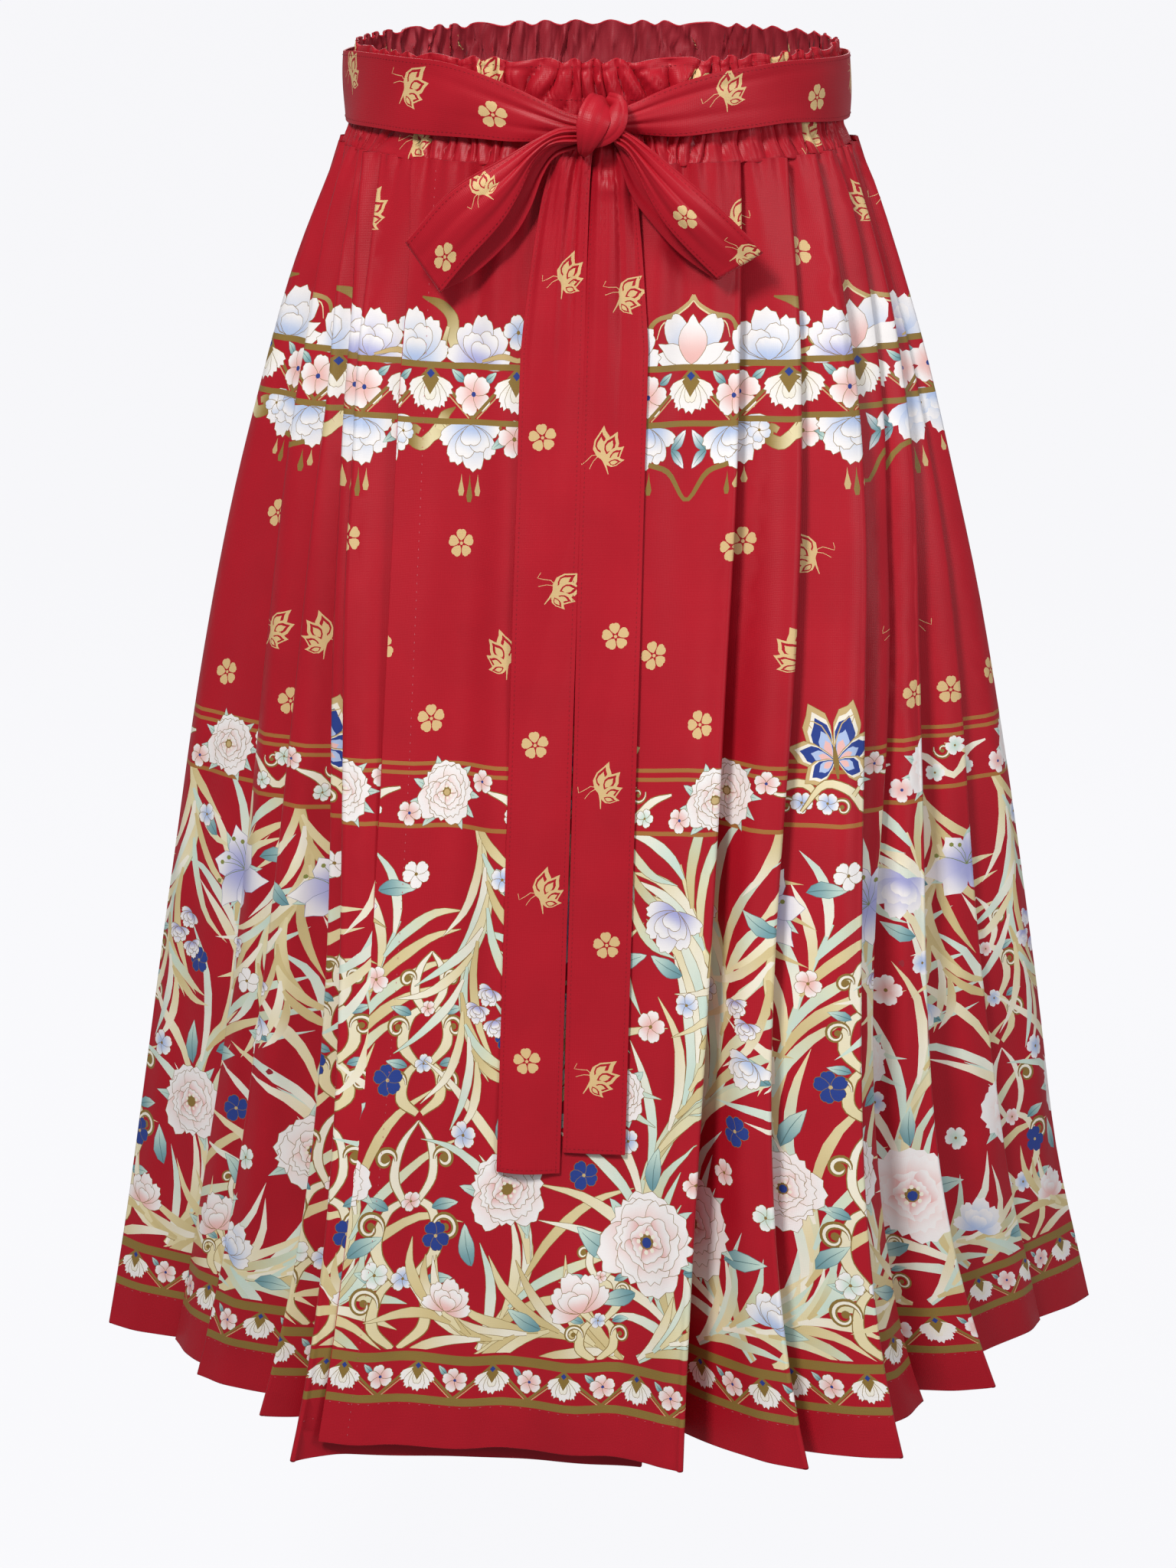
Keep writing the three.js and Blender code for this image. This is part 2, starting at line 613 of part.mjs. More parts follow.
// The two tails, which fall from under the knot and lie on the outer door
const TAIL_WALL = 1.6;
const TAIL_ROOM = 2.2; // from the door's middle to the tail's
const TAIL_STEPS = 14;
const TAILS = [
  { name: "sash_tail_left", topX: -7, hipX: -24.6, endX: -38.5, endZ: -584, forward: 0 },
  { name: "sash_tail_right", topX: 7, hipX: 10.4, endX: -1.5, endZ: -572, forward: 0.6 },
];
const TAIL_TOP_Z = -19.5;
const TAIL_TOP_Y = -114.7; // where the tails leave the back of the knot
const TAIL_DROP = 14; // height over which they reach the door
const TAIL_SPREAD = 0.2; // share of its length over which a tail spreads to its full width
const TAIL_TOP_HALF = 6;
const TAIL_HALF = 17;
function tailGeometry({ topX, hipX, endX, endZ, forward }) {
  const stations = [];
  for (let i = 0; i <= TAIL_STEPS; i += 1) {
    const s = i / TAIL_STEPS;
    const z = mix(TAIL_TOP_Z, endZ, s ** 1.3);
    const fall = (TAIL_TOP_Z - z) / (TAIL_TOP_Z - endZ);
    const spread = Math.min(1, fall / TAIL_SPREAD);
    const below = Math.max(0, (fall - TAIL_SPREAD) / (1 - TAIL_SPREAD));
    const x = mix(mix(topX, hipX, spread), endX, below);
    const halfWidth = mix(TAIL_TOP_HALF, TAIL_HALF, spread);
    const { y, across } = doorUnder(x, Math.max(halfWidth, TAIL_HALF), z);
    const settled = Math.min(1, (TAIL_TOP_Z - z) / TAIL_DROP);
    stations.push({
      middle: new THREE.Vector3(x, mix(TAIL_TOP_Y, y - TAIL_ROOM - forward, settled), z),
      across,
      normal: new THREE.Vector3(across.y, -across.x, 0),
      halfWidth,
      crown: 0.8,
    });
  }
  return ribbonGeometry(stations, TAIL_WALL);
}

// Materials
const CLOTH = new THREE.MeshStandardMaterial({ color: 0xa8141f, roughness: 0.62, metalness: 0 });
const SASH_CLOTH = new THREE.MeshStandardMaterial({ color: 0xa31420, roughness: 0.6, metalness: 0 });

const skirt = new THREE.Group();
function add(name, geometry, material = CLOTH) {
  const mesh = new THREE.Mesh(geometry, material);
  mesh.name = name;
  skirt.add(mesh);
}

add("waistband", waistbandGeometry());
add("outer_door", panelGeometry(outerDoorPath));
add("pleats_right_front", panelGeometry((t) => rightPath(t, 0)));
add("pleats_right_back", panelGeometry((t) => rightPath(t, 1)));
add("back_door", panelGeometry(backDoorPath));
add("pleats_left_back", panelGeometry((t) => leftPath(t, 0)));
add("pleats_left_front", panelGeometry((t) => leftPath(t, 1)));
add("under_door", panelGeometry(underDoorPath, HEM_Z - UNDER_DOOR_DROP));
add("sash_right", sashGeometry(BEHIND_KNOT, 91.88, 14), SASH_CLOTH);
add("sash_back", sashGeometry(92, 268, 22), SASH_CLOTH);
add("sash_left", sashGeometry(268.12, 360 - BEHIND_KNOT, 14), SASH_CLOTH);
add("knot", knotGeometry(), SASH_CLOTH);
LOOPS.forEach((loop) => add(loop.name, loopGeometry(loop), SASH_CLOTH));
TAILS.forEach((tail) => add(tail.name, tailGeometry(tail), SASH_CLOTH));

export default skirt;
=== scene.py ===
import math

import bpy
import numpy as np
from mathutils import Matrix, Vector
from mathutils.geometry import delaunay_2d_cdt


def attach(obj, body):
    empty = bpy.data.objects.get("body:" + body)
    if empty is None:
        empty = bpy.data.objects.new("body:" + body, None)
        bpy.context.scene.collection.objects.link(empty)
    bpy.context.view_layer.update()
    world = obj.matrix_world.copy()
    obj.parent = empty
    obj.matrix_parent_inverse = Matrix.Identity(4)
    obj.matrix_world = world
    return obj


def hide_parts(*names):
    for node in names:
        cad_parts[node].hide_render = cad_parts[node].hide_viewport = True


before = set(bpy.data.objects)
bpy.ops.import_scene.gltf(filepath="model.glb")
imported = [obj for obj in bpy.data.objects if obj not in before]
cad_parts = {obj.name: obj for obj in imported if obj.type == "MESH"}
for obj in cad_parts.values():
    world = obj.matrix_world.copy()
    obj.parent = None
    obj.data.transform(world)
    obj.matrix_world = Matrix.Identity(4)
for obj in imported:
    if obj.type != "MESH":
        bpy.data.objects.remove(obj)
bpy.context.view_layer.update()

# Lengths are millimetres of cloth until a mesh is made. The sizes repeat those of the CAD.
MM = 0.001
SEAM_Z = -33.0
HEM_Z = -749.0
UNDER_DOOR_DROP = 12.0
FOLD_GAP = 2.4
WALL = 1.2
PLEAT_INSET = 5.0
DOOR_LAP = 6.0
LEVELS = ((SEAM_Z, 144.5, 112.0), (-175.0, 191.0, 129.5), (-375.0, 235.0, 163.0), (HEM_Z, 300.0, 222.0))
SHARES = [(SEAM_Z - z) / (SEAM_Z - HEM_Z) for z, _, _ in LEVELS]

# Folds: which way the edge points, its angles at three heights, its place at the hem, and where the
# neighbouring face comes out from under it there
DOOR_EDGE = (1, 32.4, 23.3, 16.4, 47, -227, 57, -179)
RIGHT_FOLDS = (
    (1, 44.5, 35, 25.5, 117, -218, 118, -193),
    (1, 55.2, 48, 38.2, 172, -203, 175.5, -150),
    (1, 64.1, 56, 42.5, 192, -132, 193.5, -114),
    (1, 72, 63.6, 51.5, 232, -112, 237, -57),
    (1, 79, 71, 62, 271.5, -18, 272, -12),
    (1, 86, 82, 83, 304, 22, 277, 27),
    (-1, 96, 97, 98, 292, 52, 266, 46),
    (-1, 108, 110, 112, 267, 101, 246, 84),
    (-1, 120, 123, 127, 226, 146, 211, 123),
    (-1, 133, 137, 141, 172, 182, 163, 156),
)
BACK_DOOR_EDGES = (
    (-1, 147, 151, 155, 112, 206, 106, 178),
    (1, 213, 209, 205, -112, 206, -106, 178),
)
LEFT_FOLDS = (
    (1, 227, 223, 219, -172, 182, -163, 156),
    (1, 240, 237, 233, -226, 146, -211, 123),
    (1, 252, 250, 248, -267, 101, -246, 84),
    (1, 264, 263, 262, -290, 48, -266, 42),
    (-1, 274.5, 278, 277, -297, -19, -271, 2),
    (-1, 286.5, 299, 304, -257, -44, -258, -38),
    (-1, 294.5, 308.4, 313, -236, -96, -239, -70),
    (-1, 299.8, 313.5, 321.5, -194, -152, -197, -118),
)
UNDER_EDGE = (-1, 305.4, 316.2, 323.7, -176, -188, -181, -152)
DOOR_LEFT = (-43.3, -34.4, -30.5)
DOOR_HEM = ((-160, -186), (-96, -187), (-44, -191), (0, -204), (47, -227))
DOOR_WAVES = 5
DOOR_WAVE_DEPTH = 1.8
DOOR_WAVE_REACH = 0.6
UNDER_HEM = ((-176, -188), (-150, -177), (-96, -174), (-44, -179), (0, -191), (25, -198))
UNDER_RIGHT = (15, 12, 10)

# Rows of points down a panel, closer together near the waist, and how much each of the four levels
# counts at each row
ROWS = 96
T = np.linspace(0, 1, ROWS) ** 1.25
WEIGHTS = np.stack(
    [
        np.prod([(T - SHARES[o]) / (SHARES[i] - SHARES[o]) for o in range(4) if o != i], axis=0)
        for i in range(4)
    ]
)


def unit(v):
    """Each vector at length 1."""
    return v / np.maximum(np.linalg.norm(v, axis=-1, keepdims=True), 1e-9)


def on_outline(level, degrees, ratio):
    """The place at an angle on a level's ellipse, made larger or smaller by the ratio."""
    _, half_width, half_depth = level
    across = math.sin(math.radians(degrees))
    depth = math.sqrt(max(0.0, ratio * ratio - across * across))
    front = 1 if math.cos(math.radians(degrees)) > 0 else -1
    return (half_width * across, -front * half_depth * depth)


def line_at(angles, hem, inset=0.0):
    """A line of the skirt from the seam to the hem: a point at each row."""
    hem_ratio = math.hypot(hem[0] / LEVELS[3][1], hem[1] / LEVELS[3][2])
    waist_ratio = 1 - inset / LEVELS[0][2]
    known = []
    for level, share, degrees in zip(LEVELS[:3], SHARES, angles):
        known.append(on_outline(level, degrees, waist_ratio + (hem_ratio - waist_ratio) * share))
    return WEIGHTS.T @ np.array([*known, hem], float)


def edge_at(fold):
    """The line of a fold's edge."""
    return line_at(fold[1:4], fold[4:6])


def waist_point(degrees, inset):
    """A place at the waist, so far inside its ellipse."""
    a = math.radians(degrees)
    return np.array([(LEVELS[0][1] - inset) * math.sin(a), -(LEVELS[0][2] - inset) * math.cos(a)])


def between(a, b, c, d, s):
    """The point at share s from b to c on a smooth curve through a, b, c and d."""
    return b + 0.5 * s * (c - a + s * (2 * a - 5 * b + 4 * c - d + s * (3 * (b - c) + d - a)))


def along(corners, share):
    """The point at a share of the way along a smooth line through the corners."""
    p = np.asarray(corners, float)
    place = min(share, 0.99999) * (len(p) - 1)
    i = int(place)
    return between(p[max(i - 1, 0)], p[i], p[i + 1], p[min(i + 2, len(p) - 1)], place - i)


# How far the cloth runs back behind a face at the hem. At the waist it laps by a share of the degrees
# to the next fold, or of LONE_APART where there is none
HIDDEN_RUN = 18.0
LAP_SHARE = 0.45
MOST_LAP = 7.0
LONE_APART = 12


def inner_at(fold, neighbour):
    """The line of the hidden fold that belongs to an edge."""
    apart = abs(neighbour[1] - fold[1]) if neighbour else LONE_APART
    lap = min(MOST_LAP, apart * LAP_SHARE)
    top = waist_point(fold[1] - fold[0] * lap, PLEAT_INSET + FOLD_GAP / 2)
    start = np.array(fold[6:8], float)
    bottom = start.copy()
    if neighbour:
        bottom = bottom + unit(start - np.array(neighbour[4:6], float)) * HIDDEN_RUN
    edge = edge_at(fold)
    return edge + (top - edge[0]) * (1 - T[:, None]) + (bottom - edge[-1]) * T[:, None]


# A hidden fold lies at least this far behind the cloth that covers it
KEPT_BEHIND = 3.8


def inners_of(folds):
    """The lines of all hidden folds of a side, kept clear of the cloth that covers them."""
    inners = []
    for i, fold in enumerate(folds):
        k = i + fold[0]
        neighbour = folds[k] if 0 <= k < len(folds) and folds[k][0] == fold[0] else None
        inners.append(inner_at(fold, neighbour))

    def settle(i, start, end):
        run = unit(end - start)
        inward = np.stack([-run[:, 1], run[:, 0]], 1)
        behind = np.sum((inners[i] - start) * inward, axis=1)
        inners[i] = inners[i] + inward * np.maximum(0, KEPT_BEHIND - behind)[:, None]

    for i in range(1, len(folds) - 1):
        if folds[i][0] > 0:
            settle(i, inners[i - 1], edge_at(folds[i]))
    for i in range(len(folds) - 2, 0, -1):
        if folds[i][0] < 0:
            settle(i, edge_at(folds[i]), inners[i + 1])
    return inners


CLEARANCE = 0.6


def beside_inner(fold, neighbour):
    """The end of a cloth that lies beside another cloth's hidden fold without touching it."""
    inner = inner_at(fold, neighbour)
    near = unit(edge_at(fold) - inner)
    other = unit(edge_at(neighbour) - inner)
    step = unit(other - near * np.sum(other * near, axis=1)[:, None])
    return inner + step * (WALL + CLEARANCE) + other * ((WALL + CLEARANCE) / 2)


# A pleat's face bows out by this share of its width at the hem
FACE_CROWN = 0.05


def pleat_turns(folds, before, after):
    """The turning lines of a run of pleats: (line, kind), where kind is edge, inner or face."""
    every = [before, *folds, after]
    inners = inners_of(every)
    edges = [edge_at(fold) for fold in every]
    turns = []

    def face(start, end):
        run = end - start
        out = np.stack([run[:, 1], -run[:, 0]], 1) * (FACE_CROWN * T)[:, None]
        turns.append(((start + end) / 2 + out, "face"))

    last = len(every) - 1
    for i, fold in enumerate(every):
        following = every[i + 1] if i < last else None
        if fold[0] > 0:
            if i:
                turns.append((edges[i], "edge"))
            if following:
                turns.append((inners[i], "inner"))
                if following[0] > 0:
                    face(inners[i], edges[i + 1])
        else:
            if i:
                turns.append((inners[i], "inner"))
            if following:
                turns.append((edges[i], "edge"))
                face(edges[i], inners[i + 1])
    return turns


# Columns across a pleat's face, its return and the round of a fold
FACE_STEPS = 18
RETURN_STEPS = 5
CAP_STEPS = 9
# A fold that doubles back is FOLD_GAP wide, and one that only bends is this share of it. The round
# bulges by a share of that width and is drawn in a little, in millimetres
BEND_OPENING = 0.4
FOLD_BULGE = 0.42
FOLD_DRAWN_IN = 0.35


def columns_of(turns):
    """The cloth's path as many columns, each a point at every row, with the folds rounded.
    Gives the columns and the index of the column at the middle of each turn."""
    points = [p for p, _ in turns]
    kinds = [kind for _, kind in turns]
    entry, leave, caps = list(points), list(points), {}
    for i in range(1, len(turns) - 1):
        if kinds[i] in ("face", "soft"):
            continue
        into = unit(points[i] - points[i - 1])
        out = unit(points[i + 1] - points[i])
        cross = into[:, 0] * out[:, 1] - into[:, 1] * out[:, 0]
        side = np.where(cross < 0, -1.0, 1.0)[:, None]
        back = unit(out - into)
        cap = np.stack([-back[:, 1], back[:, 0]], 1)
        turned = np.stack([-into[:, 1], into[:, 0]], 1) * side
        cap = cap * np.where(np.sum(cap * turned, axis=1) < 0, -1.0, 1.0)[:, None]
        opening = np.where(np.sum(into * out, axis=1) < 0, 1.0, BEND_OPENING)[:, None]
        half = cap * opening * FOLD_GAP / 2
        entry[i], leave[i] = points[i] - half, points[i] + half
        caps[i] = (half, back, opening)
    columns, marks = [], {}
    i = 0
    while i < len(turns):
        if i in caps:
            half, back, opening = caps[i]
            for k in range(CAP_STEPS):
                a = math.pi * (k / (CAP_STEPS - 1) - 0.5)
                bulge = math.cos(a) * FOLD_GAP * FOLD_BULGE * opening
                columns.append(points[i] + half * math.sin(a) - back * (bulge - FOLD_DRAWN_IN * opening))
            marks[i] = len(columns) - 1 - CAP_STEPS // 2
        else:
            columns.append(points[i])
            marks[i] = len(columns) - 1
        if i + 1 == len(turns):
            break
        start = leave[i]
        if kinds[i + 1] == "face":
            end = entry[i + 2]
            bow = points[i + 1] - (points[i] + points[i + 2]) / 2
            for k in range(1, FACE_STEPS):
                s = k / FACE_STEPS
                columns.append(start + (end - start) * s + bow * 4 * s * (1 - s))
            marks[i + 1] = len(columns) - FACE_STEPS // 2
            i += 2
            continue
        end = entry[i + 1]
        steps = 1 if "soft" in (kinds[i], kinds[i + 1]) else RETURN_STEPS
        for k in range(1, steps):
            columns.append(start + (end - start) * k / steps)
        i += 1
    return np.stack(columns, 1), marks


def door_face(points):
    """The outer door's face: soft gathers under the band that die out down the panel."""
    face = []
    for i in range(points + 1):
        s = i / points
        angles = [DOOR_LEFT[k] + (DOOR_EDGE[1 + k] - DOOR_LEFT[k]) * s for k in range(3)]
        line = line_at(angles, along(DOOR_HEM, s))
        fade = math.sin(math.pi * s) * np.maximum(0, 1 - T / DOOR_WAVE_REACH)
        line[:, 1] += DOOR_WAVE_DEPTH * math.sin(2 * math.pi * DOOR_WAVES * s) * fade
        face.append(line)
    return face


def rows_to_z(hem_z):
    return SEAM_Z + (hem_z - SEAM_Z) * T


# How much broader and deeper a crease is made than its table says, for a ridge and for a trough
RIDGE = (1.25, 1.9)
TROUGH = (1.1, 1.4)


class Strip:
    """One stretch of printed cloth between two hidden folds. u runs along the cloth and is 0 at the
    fold's edge, so the print keeps its true scale beside the edge."""

    def __init__(self, columns, lengths, hem_z=HEM_Z):
        self.columns = columns
        self.u = lengths
        self.z = rows_to_z(hem_z)
        step = unit(np.gradient(columns, axis=1))
        self.out = np.stack([step[..., 1], -step[..., 0]], -1)
        self.creases = []

    def base(self, u, z):
        place = np.interp(-z, -self.z, np.arange(ROWS))
        row = np.clip(place.astype(int), 0, ROWS - 2)
        share = place - row
        result = np.empty((len(u), 4))
        order = np.argsort(row, kind="stable")
        bounds = np.searchsorted(row[order], np.arange(ROWS))
        for r in range(ROWS - 1):
            pick = order[bounds[r] : bounds[r + 1]]
            if not len(pick):
                continue
            here = u[pick]
            s = share[pick]
            for c in range(4):
                table = self.columns if c < 2 else self.out
                a = np.interp(here, self.u[r], table[r, :, c % 2])
                b = np.interp(here, self.u[r + 1], table[r + 1, :, c % 2])
                result[pick, c] = a * (1 - s) + b * s
        return result

    def place(self, u, z):
        found = self.base(u, z)
        x, y = found[:, 0].copy(), found[:, 1].copy()
        push = np.zeros(len(u))
        for cu, cz, lean, wide, tall, deep in self.creases:
            broad, strong = RIDGE if deep > 0 else TROUGH
            near = (u - cu - lean * (z - cz)) / (broad * wide)
            push += strong * deep * np.exp(-near * near - ((z - cz) / tall) ** 2)
        x += found[:, 2] * push
        y += found[:, 3] * push
        return sway(x, y, z)

    def first(self, z):
        """The cloth's first place along u at a height."""
        return np.interp(-np.asarray(z, float), -self.z, self.u[:, 0])

    def last(self, z):
        """The cloth's last place along u at a height."""
        return np.interp(-np.asarray(z, float), -self.z, self.u[:, -1])


# The waist's width by its depth for the angle of a place, and for the direction it is pushed in
ANGLE_RATIO = 1.35
PUSH_RATIO = 1.6


def sway(x, y, z):
    """The soft hang of the cloth. Every layer at a place moves together, so none cuts another."""
    angle = np.arctan2(x / ANGLE_RATIO, -y)
    down = SEAM_Z - z
    low = np.clip(down / 260, 0, 1)
    # puckers just below the seam
    puckers = 1.1 * np.exp(-np.maximum(down, 0) / 16) * np.sin(86 * angle + 2.2 * np.sin(5 * angle))
    puckers += 0.9 * np.exp(-np.maximum(down, 0) / 42) * np.sin(49 * angle + 1.3 + 1.5 * np.sin(3 * angle))
    # gathers over the hips
    pull = 31 * angle + 1.1 * np.sin(4 * angle) + down / 75
    gathers = 1.5 * np.exp(-(((down - 55) / 85) ** 2)) * np.sin(pull)
    # long waves that grow toward the hem
    hang = 1.9 * np.sin(9 * angle + down / 210 + 0.6) * low
    hang += 1.2 * np.sin(17 * angle - down / 160 + 1.1) * low
    hang += 0.5 * np.sin(27 * angle + down / 85) * low
    # small waves across the cloth below the seam
    drag = 0.5 * np.sin(down / 21 + 5 * np.sin(3 * angle)) * np.exp(-down / 190) * np.clip(down / 30, 0, 1)
    push = puckers + gathers + hang + drag
    wide = np.maximum(np.hypot(x, y * PUSH_RATIO), 1e-6)
    lift = 1.3 * np.sin(6 * angle + 0.5) * np.clip((down - 500) / 216, 0, 1)
    return np.stack([x + push * x / wide, y + push * y * PUSH_RATIO / wide, z + lift], 1)


# Drawing kit, in millimetres of cloth: x along the cloth, z up from the waist
RED = "b11526"
OLIVE = "8f7439"
GOLD = "cdb27c"
CREAM = "eadcae"
IVORY = "f7f1e0"
WHITE = "faf6f4"
PINK = "f0bdb6"
ROSE = "e79c98"
LILAC = "a9abdc"
SKY = "b3c6ea"
NAVY = "2c4390"
TEAL = "6c9aa4"
MINT = "cfe4d6"
SAND = "d8c48d"
BLUSH = "f6d9d2"
SHELL = "f6d3cb"
FROST = "d9e2f2"
MOTIF_GOLD = "ddbd86"
BRONZE = "a9713a"
LILY_INK = "7f86a8"
LEAF_INK = "5d7f80"
STAMEN = "7d8a4e"
ANTHER = "8b8f4a"
REVERSE = "9c2a35"
THREAD = "c9606a"
SEAM_THREAD = "8e1522"


def rgb(code):
    """A colour from its code in hexadecimal."""
    return np.array([int(code[i:i + 2], 16) / 255 for i in (0, 2, 4)])


def turned(points, degrees):
    """The points turned counterclockwise about the origin."""
    a = math.radians(degrees)
    c, s = math.cos(a), math.sin(a)
    points = np.asarray(points, float)
    return points @ np.array([[c, s], [-s, c]])


def curve(points, samples):
    """A smooth open curve through the points."""
    p = np.asarray(points, float)
    if len(p) == 2:
        t = np.linspace(0, 1, samples)[:, None]
        return p[0] + (p[1] - p[0]) * t
    q = np.vstack([2 * p[0] - p[1], p, 2 * p[-1] - p[-2]])
    out = []
    for t in np.linspace(0, len(p) - 1, samples):
        i = min(int(t), len(p) - 2)
        out.append(between(*q[i : i + 4], t - i))
    return np.array(out)


# How finely a print is drawn. Shapes and blades get ink lines only above these
DETAIL = [1.0]
INK_FROM = 0.5
BLADE_INK_FROM = 0.7


def set_detail(value):
    DETAIL[0] = value


def closed(points, per=3):
    """A smooth closed outline through the points."""
    p = np.asarray(points, float)
    per = max(1, round(per * 0.8 * DETAIL[0]))
    n = len(p)
    out = []
    for i in range(n):
        for k in range(per):
            out.append(between(p[i - 1], p[i], p[(i + 1) % n], p[(i + 2) % n], k / per))
    return np.array(out)


def area(points):
    """An outline's area, positive where it runs counterclockwise."""
    x, y = points[:, 0], points[:, 1]
    return 0.5 * np.sum(x * np.roll(y, -1) - np.roll(x, -1) * y)


def grown(points, by):
    """The outline moved outward."""
    p = points if area(points) > 0 else points[::-1]
    edge = np.roll(p, -1, 0) - p
    length = np.maximum(np.linalg.norm(edge, axis=1), 1e-6)
    normal = np.stack([edge[:, 1], -edge[:, 0]], 1) / length[:, None]
    both = normal + np.roll(normal, 1, 0)
    size = np.maximum(np.linalg.norm(both, axis=1), 0.7)
    return p + both / size[:, None] * by


class Paint:
    """A fill: one colour, or a blend from one place to another."""

    def __init__(self, first, second=None, start=(0, 0), end=(0, 1)):
        self.first, self.second = first, second or first
        self.start, self.end = np.array(start, float), np.array(end, float)

    def moved(self, f):
        ends = f(np.array([self.start, self.end]))
        return Paint(self.first, self.second, ends[0], ends[1])

    def at(self, points):
        run = self.end - self.start
        share = np.clip((points - self.start) @ run / max(run @ run, 1e-9), 0, 1)[:, None]
        share = share * share * (3 - 2 * share)
        return rgb(self.first) * (1 - share) + rgb(self.second) * share


class Drawing:
    """A list of filled outlines, the later ones on top."""

    def __init__(self):
        self.shapes = []

    def fill(self, points, paint):
        if isinstance(paint, str):
            paint = Paint(paint)
        self.shapes.append((np.asarray(points, float), paint))

    def inked(self, points, paint, line=0.35, ink=OLIVE):
        if DETAIL[0] > INK_FROM:
            self.fill(grown(np.asarray(points, float), line), ink)
        self.fill(points, paint)

    def add(self, other, at=(0, 0), turn=0, size=1.0, flip=False):
        def place(p):
            p = np.asarray(p, float) * size
            if flip:
                p = p * [-1, 1]
            return turned(p, turn) + at
        for points, paint in other.shapes:
            self.shapes.append((place(points), paint.moved(place)))

    def stroke(self, points, widths, paint, samples=16, line=0, ink=OLIVE):
        samples = max(len(points) if len(points) < 3 else 5, round(samples * (0.35 + 0.6 * DETAIL[0])))
        line = line if DETAIL[0] > INK_FROM else 0
        mid = curve(points, samples)
        run = np.gradient(mid, axis=0)
        run /= np.maximum(np.linalg.norm(run, axis=1), 1e-9)[:, None]
        side = np.stack([-run[:, 1], run[:, 0]], 1)
        half = np.interp(np.linspace(0, 1, samples), np.linspace(0, 1, len(widths)), widths)[:, None] / 2
        half = np.maximum(half, 0.04)
        outline = np.vstack([mid + side * half, (mid - side * half)[::-1]])
        if line:
            wide = half + line
            self.fill(np.vstack([mid + side * wide, (mid - side * wide)[::-1]]), ink)
        self.fill(outline, paint)


ROUND = [(0, 0), (.24, .16), (.43, .42), (.5, .7), (.36, .93), (.14, 1.0), (0, .95),
         (-.16, 1.0), (-.38, .91), (-.5, .68), (-.42, .4), (-.22, .16)]
POINTED = [(0, 0), (.3, .2), (.45, .45), (.38, .7), (.16, .88), (0, 1.06), (-.16, .88),
           (-.38, .7), (-.45, .45), (-.3, .2)]
FRILLED = [(0, 0), (.26, .2), (.46, .45), (.56, .66), (.46, .86), (.3, .86), (.2, 1.0), (.04, .93),
           (-.12, 1.03), (-.26, .88), (-.44, .9), (-.55, .68), (-.45, .42), (-.24, .18)]
WAVED = [(0, 0), (.3, .2), (.5, .46), (.52, .7), (.38, .9), (.2, .93), (.06, 1.02), (-.16, .94),
         (-.34, .97), (-.5, .76), (-.5, .48), (-.28, .18)]
LONG = [(0, 0), (.2, .2), (.42, .5), (.44, .72), (.24, .9), (.06, 1.05), (-.1, .92), (-.34, .8),
        (-.42, .55), (-.24, .22)]


def petal(draw, at, turn, length, width, form, base, tip, line=0.3, lean=0.0, ink=OLIVE, per=3):
    """A petal that grows from a place, blended from its base to its tip."""
    p = np.array(form, float) * [width, length]
    p[:, 0] += lean * length * (p[:, 1] / length) ** 2
    p = closed(p, per)
    p = turned(p, turn) + at
    ends = turned([(0, length * .1), (lean * length, length * .95)], turn) + at
    draw.inked(p, Paint(base, tip, ends[0], ends[1]), line, ink)


def dot(draw, at, radius, colour, sides=8):
    a = np.linspace(0, 2 * math.pi, sides, endpoint=False)
    draw.fill(np.stack([np.cos(a), np.sin(a)], 1) * radius + at, colour)


def blossom(radius, base, tip, heart):
    """A small open flower of five petals."""
    d = Drawing()
    for k in range(5):
        turn = k * 360 / 5 + 6 * math.sin(2.4 * k + radius)
        petal(d, (0, 0), turn, radius, radius * .86, ROUND, base, tip, 0.28, 0.03 * math.sin(k * 2), per=2)
    dot(d, (0, 0), radius * .13, heart, 7)
    return d


def peony(radius, deep=ROSE, mid=PINK, tip=WHITE, heart=NAVY):
    """A full flower: four rings of frilled petals round a dotted heart."""
    d = Drawing()
    rings = [(7, 1.0, .86, 0), (6, .78, .76, 24), (5, .55, .66, 5), (4, .36, .5, 40)]
    for ring, (count, reach, wide, start) in enumerate(rings):
        for k in range(count):
            bend = 0.1 * math.sin(k * 2.1 + ring)
            long = radius * reach * (1 + 0.1 * math.sin(k * 3.7 + ring * 2))
            petal(d, (0, 0), start + k * 360 / count, long, radius * wide * (1 + .12 * math.cos(k * 2.9)),
                  FRILLED if k % 2 else WAVED, mid if ring < 2 else deep, tip, 0.3, bend)
    dot(d, (0, radius * .02), radius * .16, OLIVE, 9)
    for k in range(8):
        a = k * math.pi / 4
        dot(d, (radius * .19 * math.cos(a), radius * .19 * math.sin(a)), radius * .05, IVORY, 6)
    dot(d, (0, 0), radius * .11, heart, 8)
    return d


def lily(radius):
    """Six long petals with curved stamens."""
    d = Drawing()
    turns = [(20, .95), (75, .8), (135, .98), (190, .85), (255, 1.02), (315, .9)]
    for k, (turn, reach) in enumerate(turns):
        petal(d, (0, 0), turn, radius * reach, radius * .66, LONG if k % 2 else POINTED, LILAC, WHITE, 0.25,
              0.16 * math.sin(k * 2.3 + 1), LILY_INK)
    for k in range(6):
        a = 20 + k * 26 + (k % 2) * 9
        reach = radius * (.5 + .12 * (k % 3))
        tips = turned([(0, 0), (radius * .05, reach * .5), (0, reach)], a - 50)
        d.stroke(tips, [.5, .35, .3], STAMEN, 7)
        dot(d, tips[-1], radius * .055, ANTHER, 6)
    return d


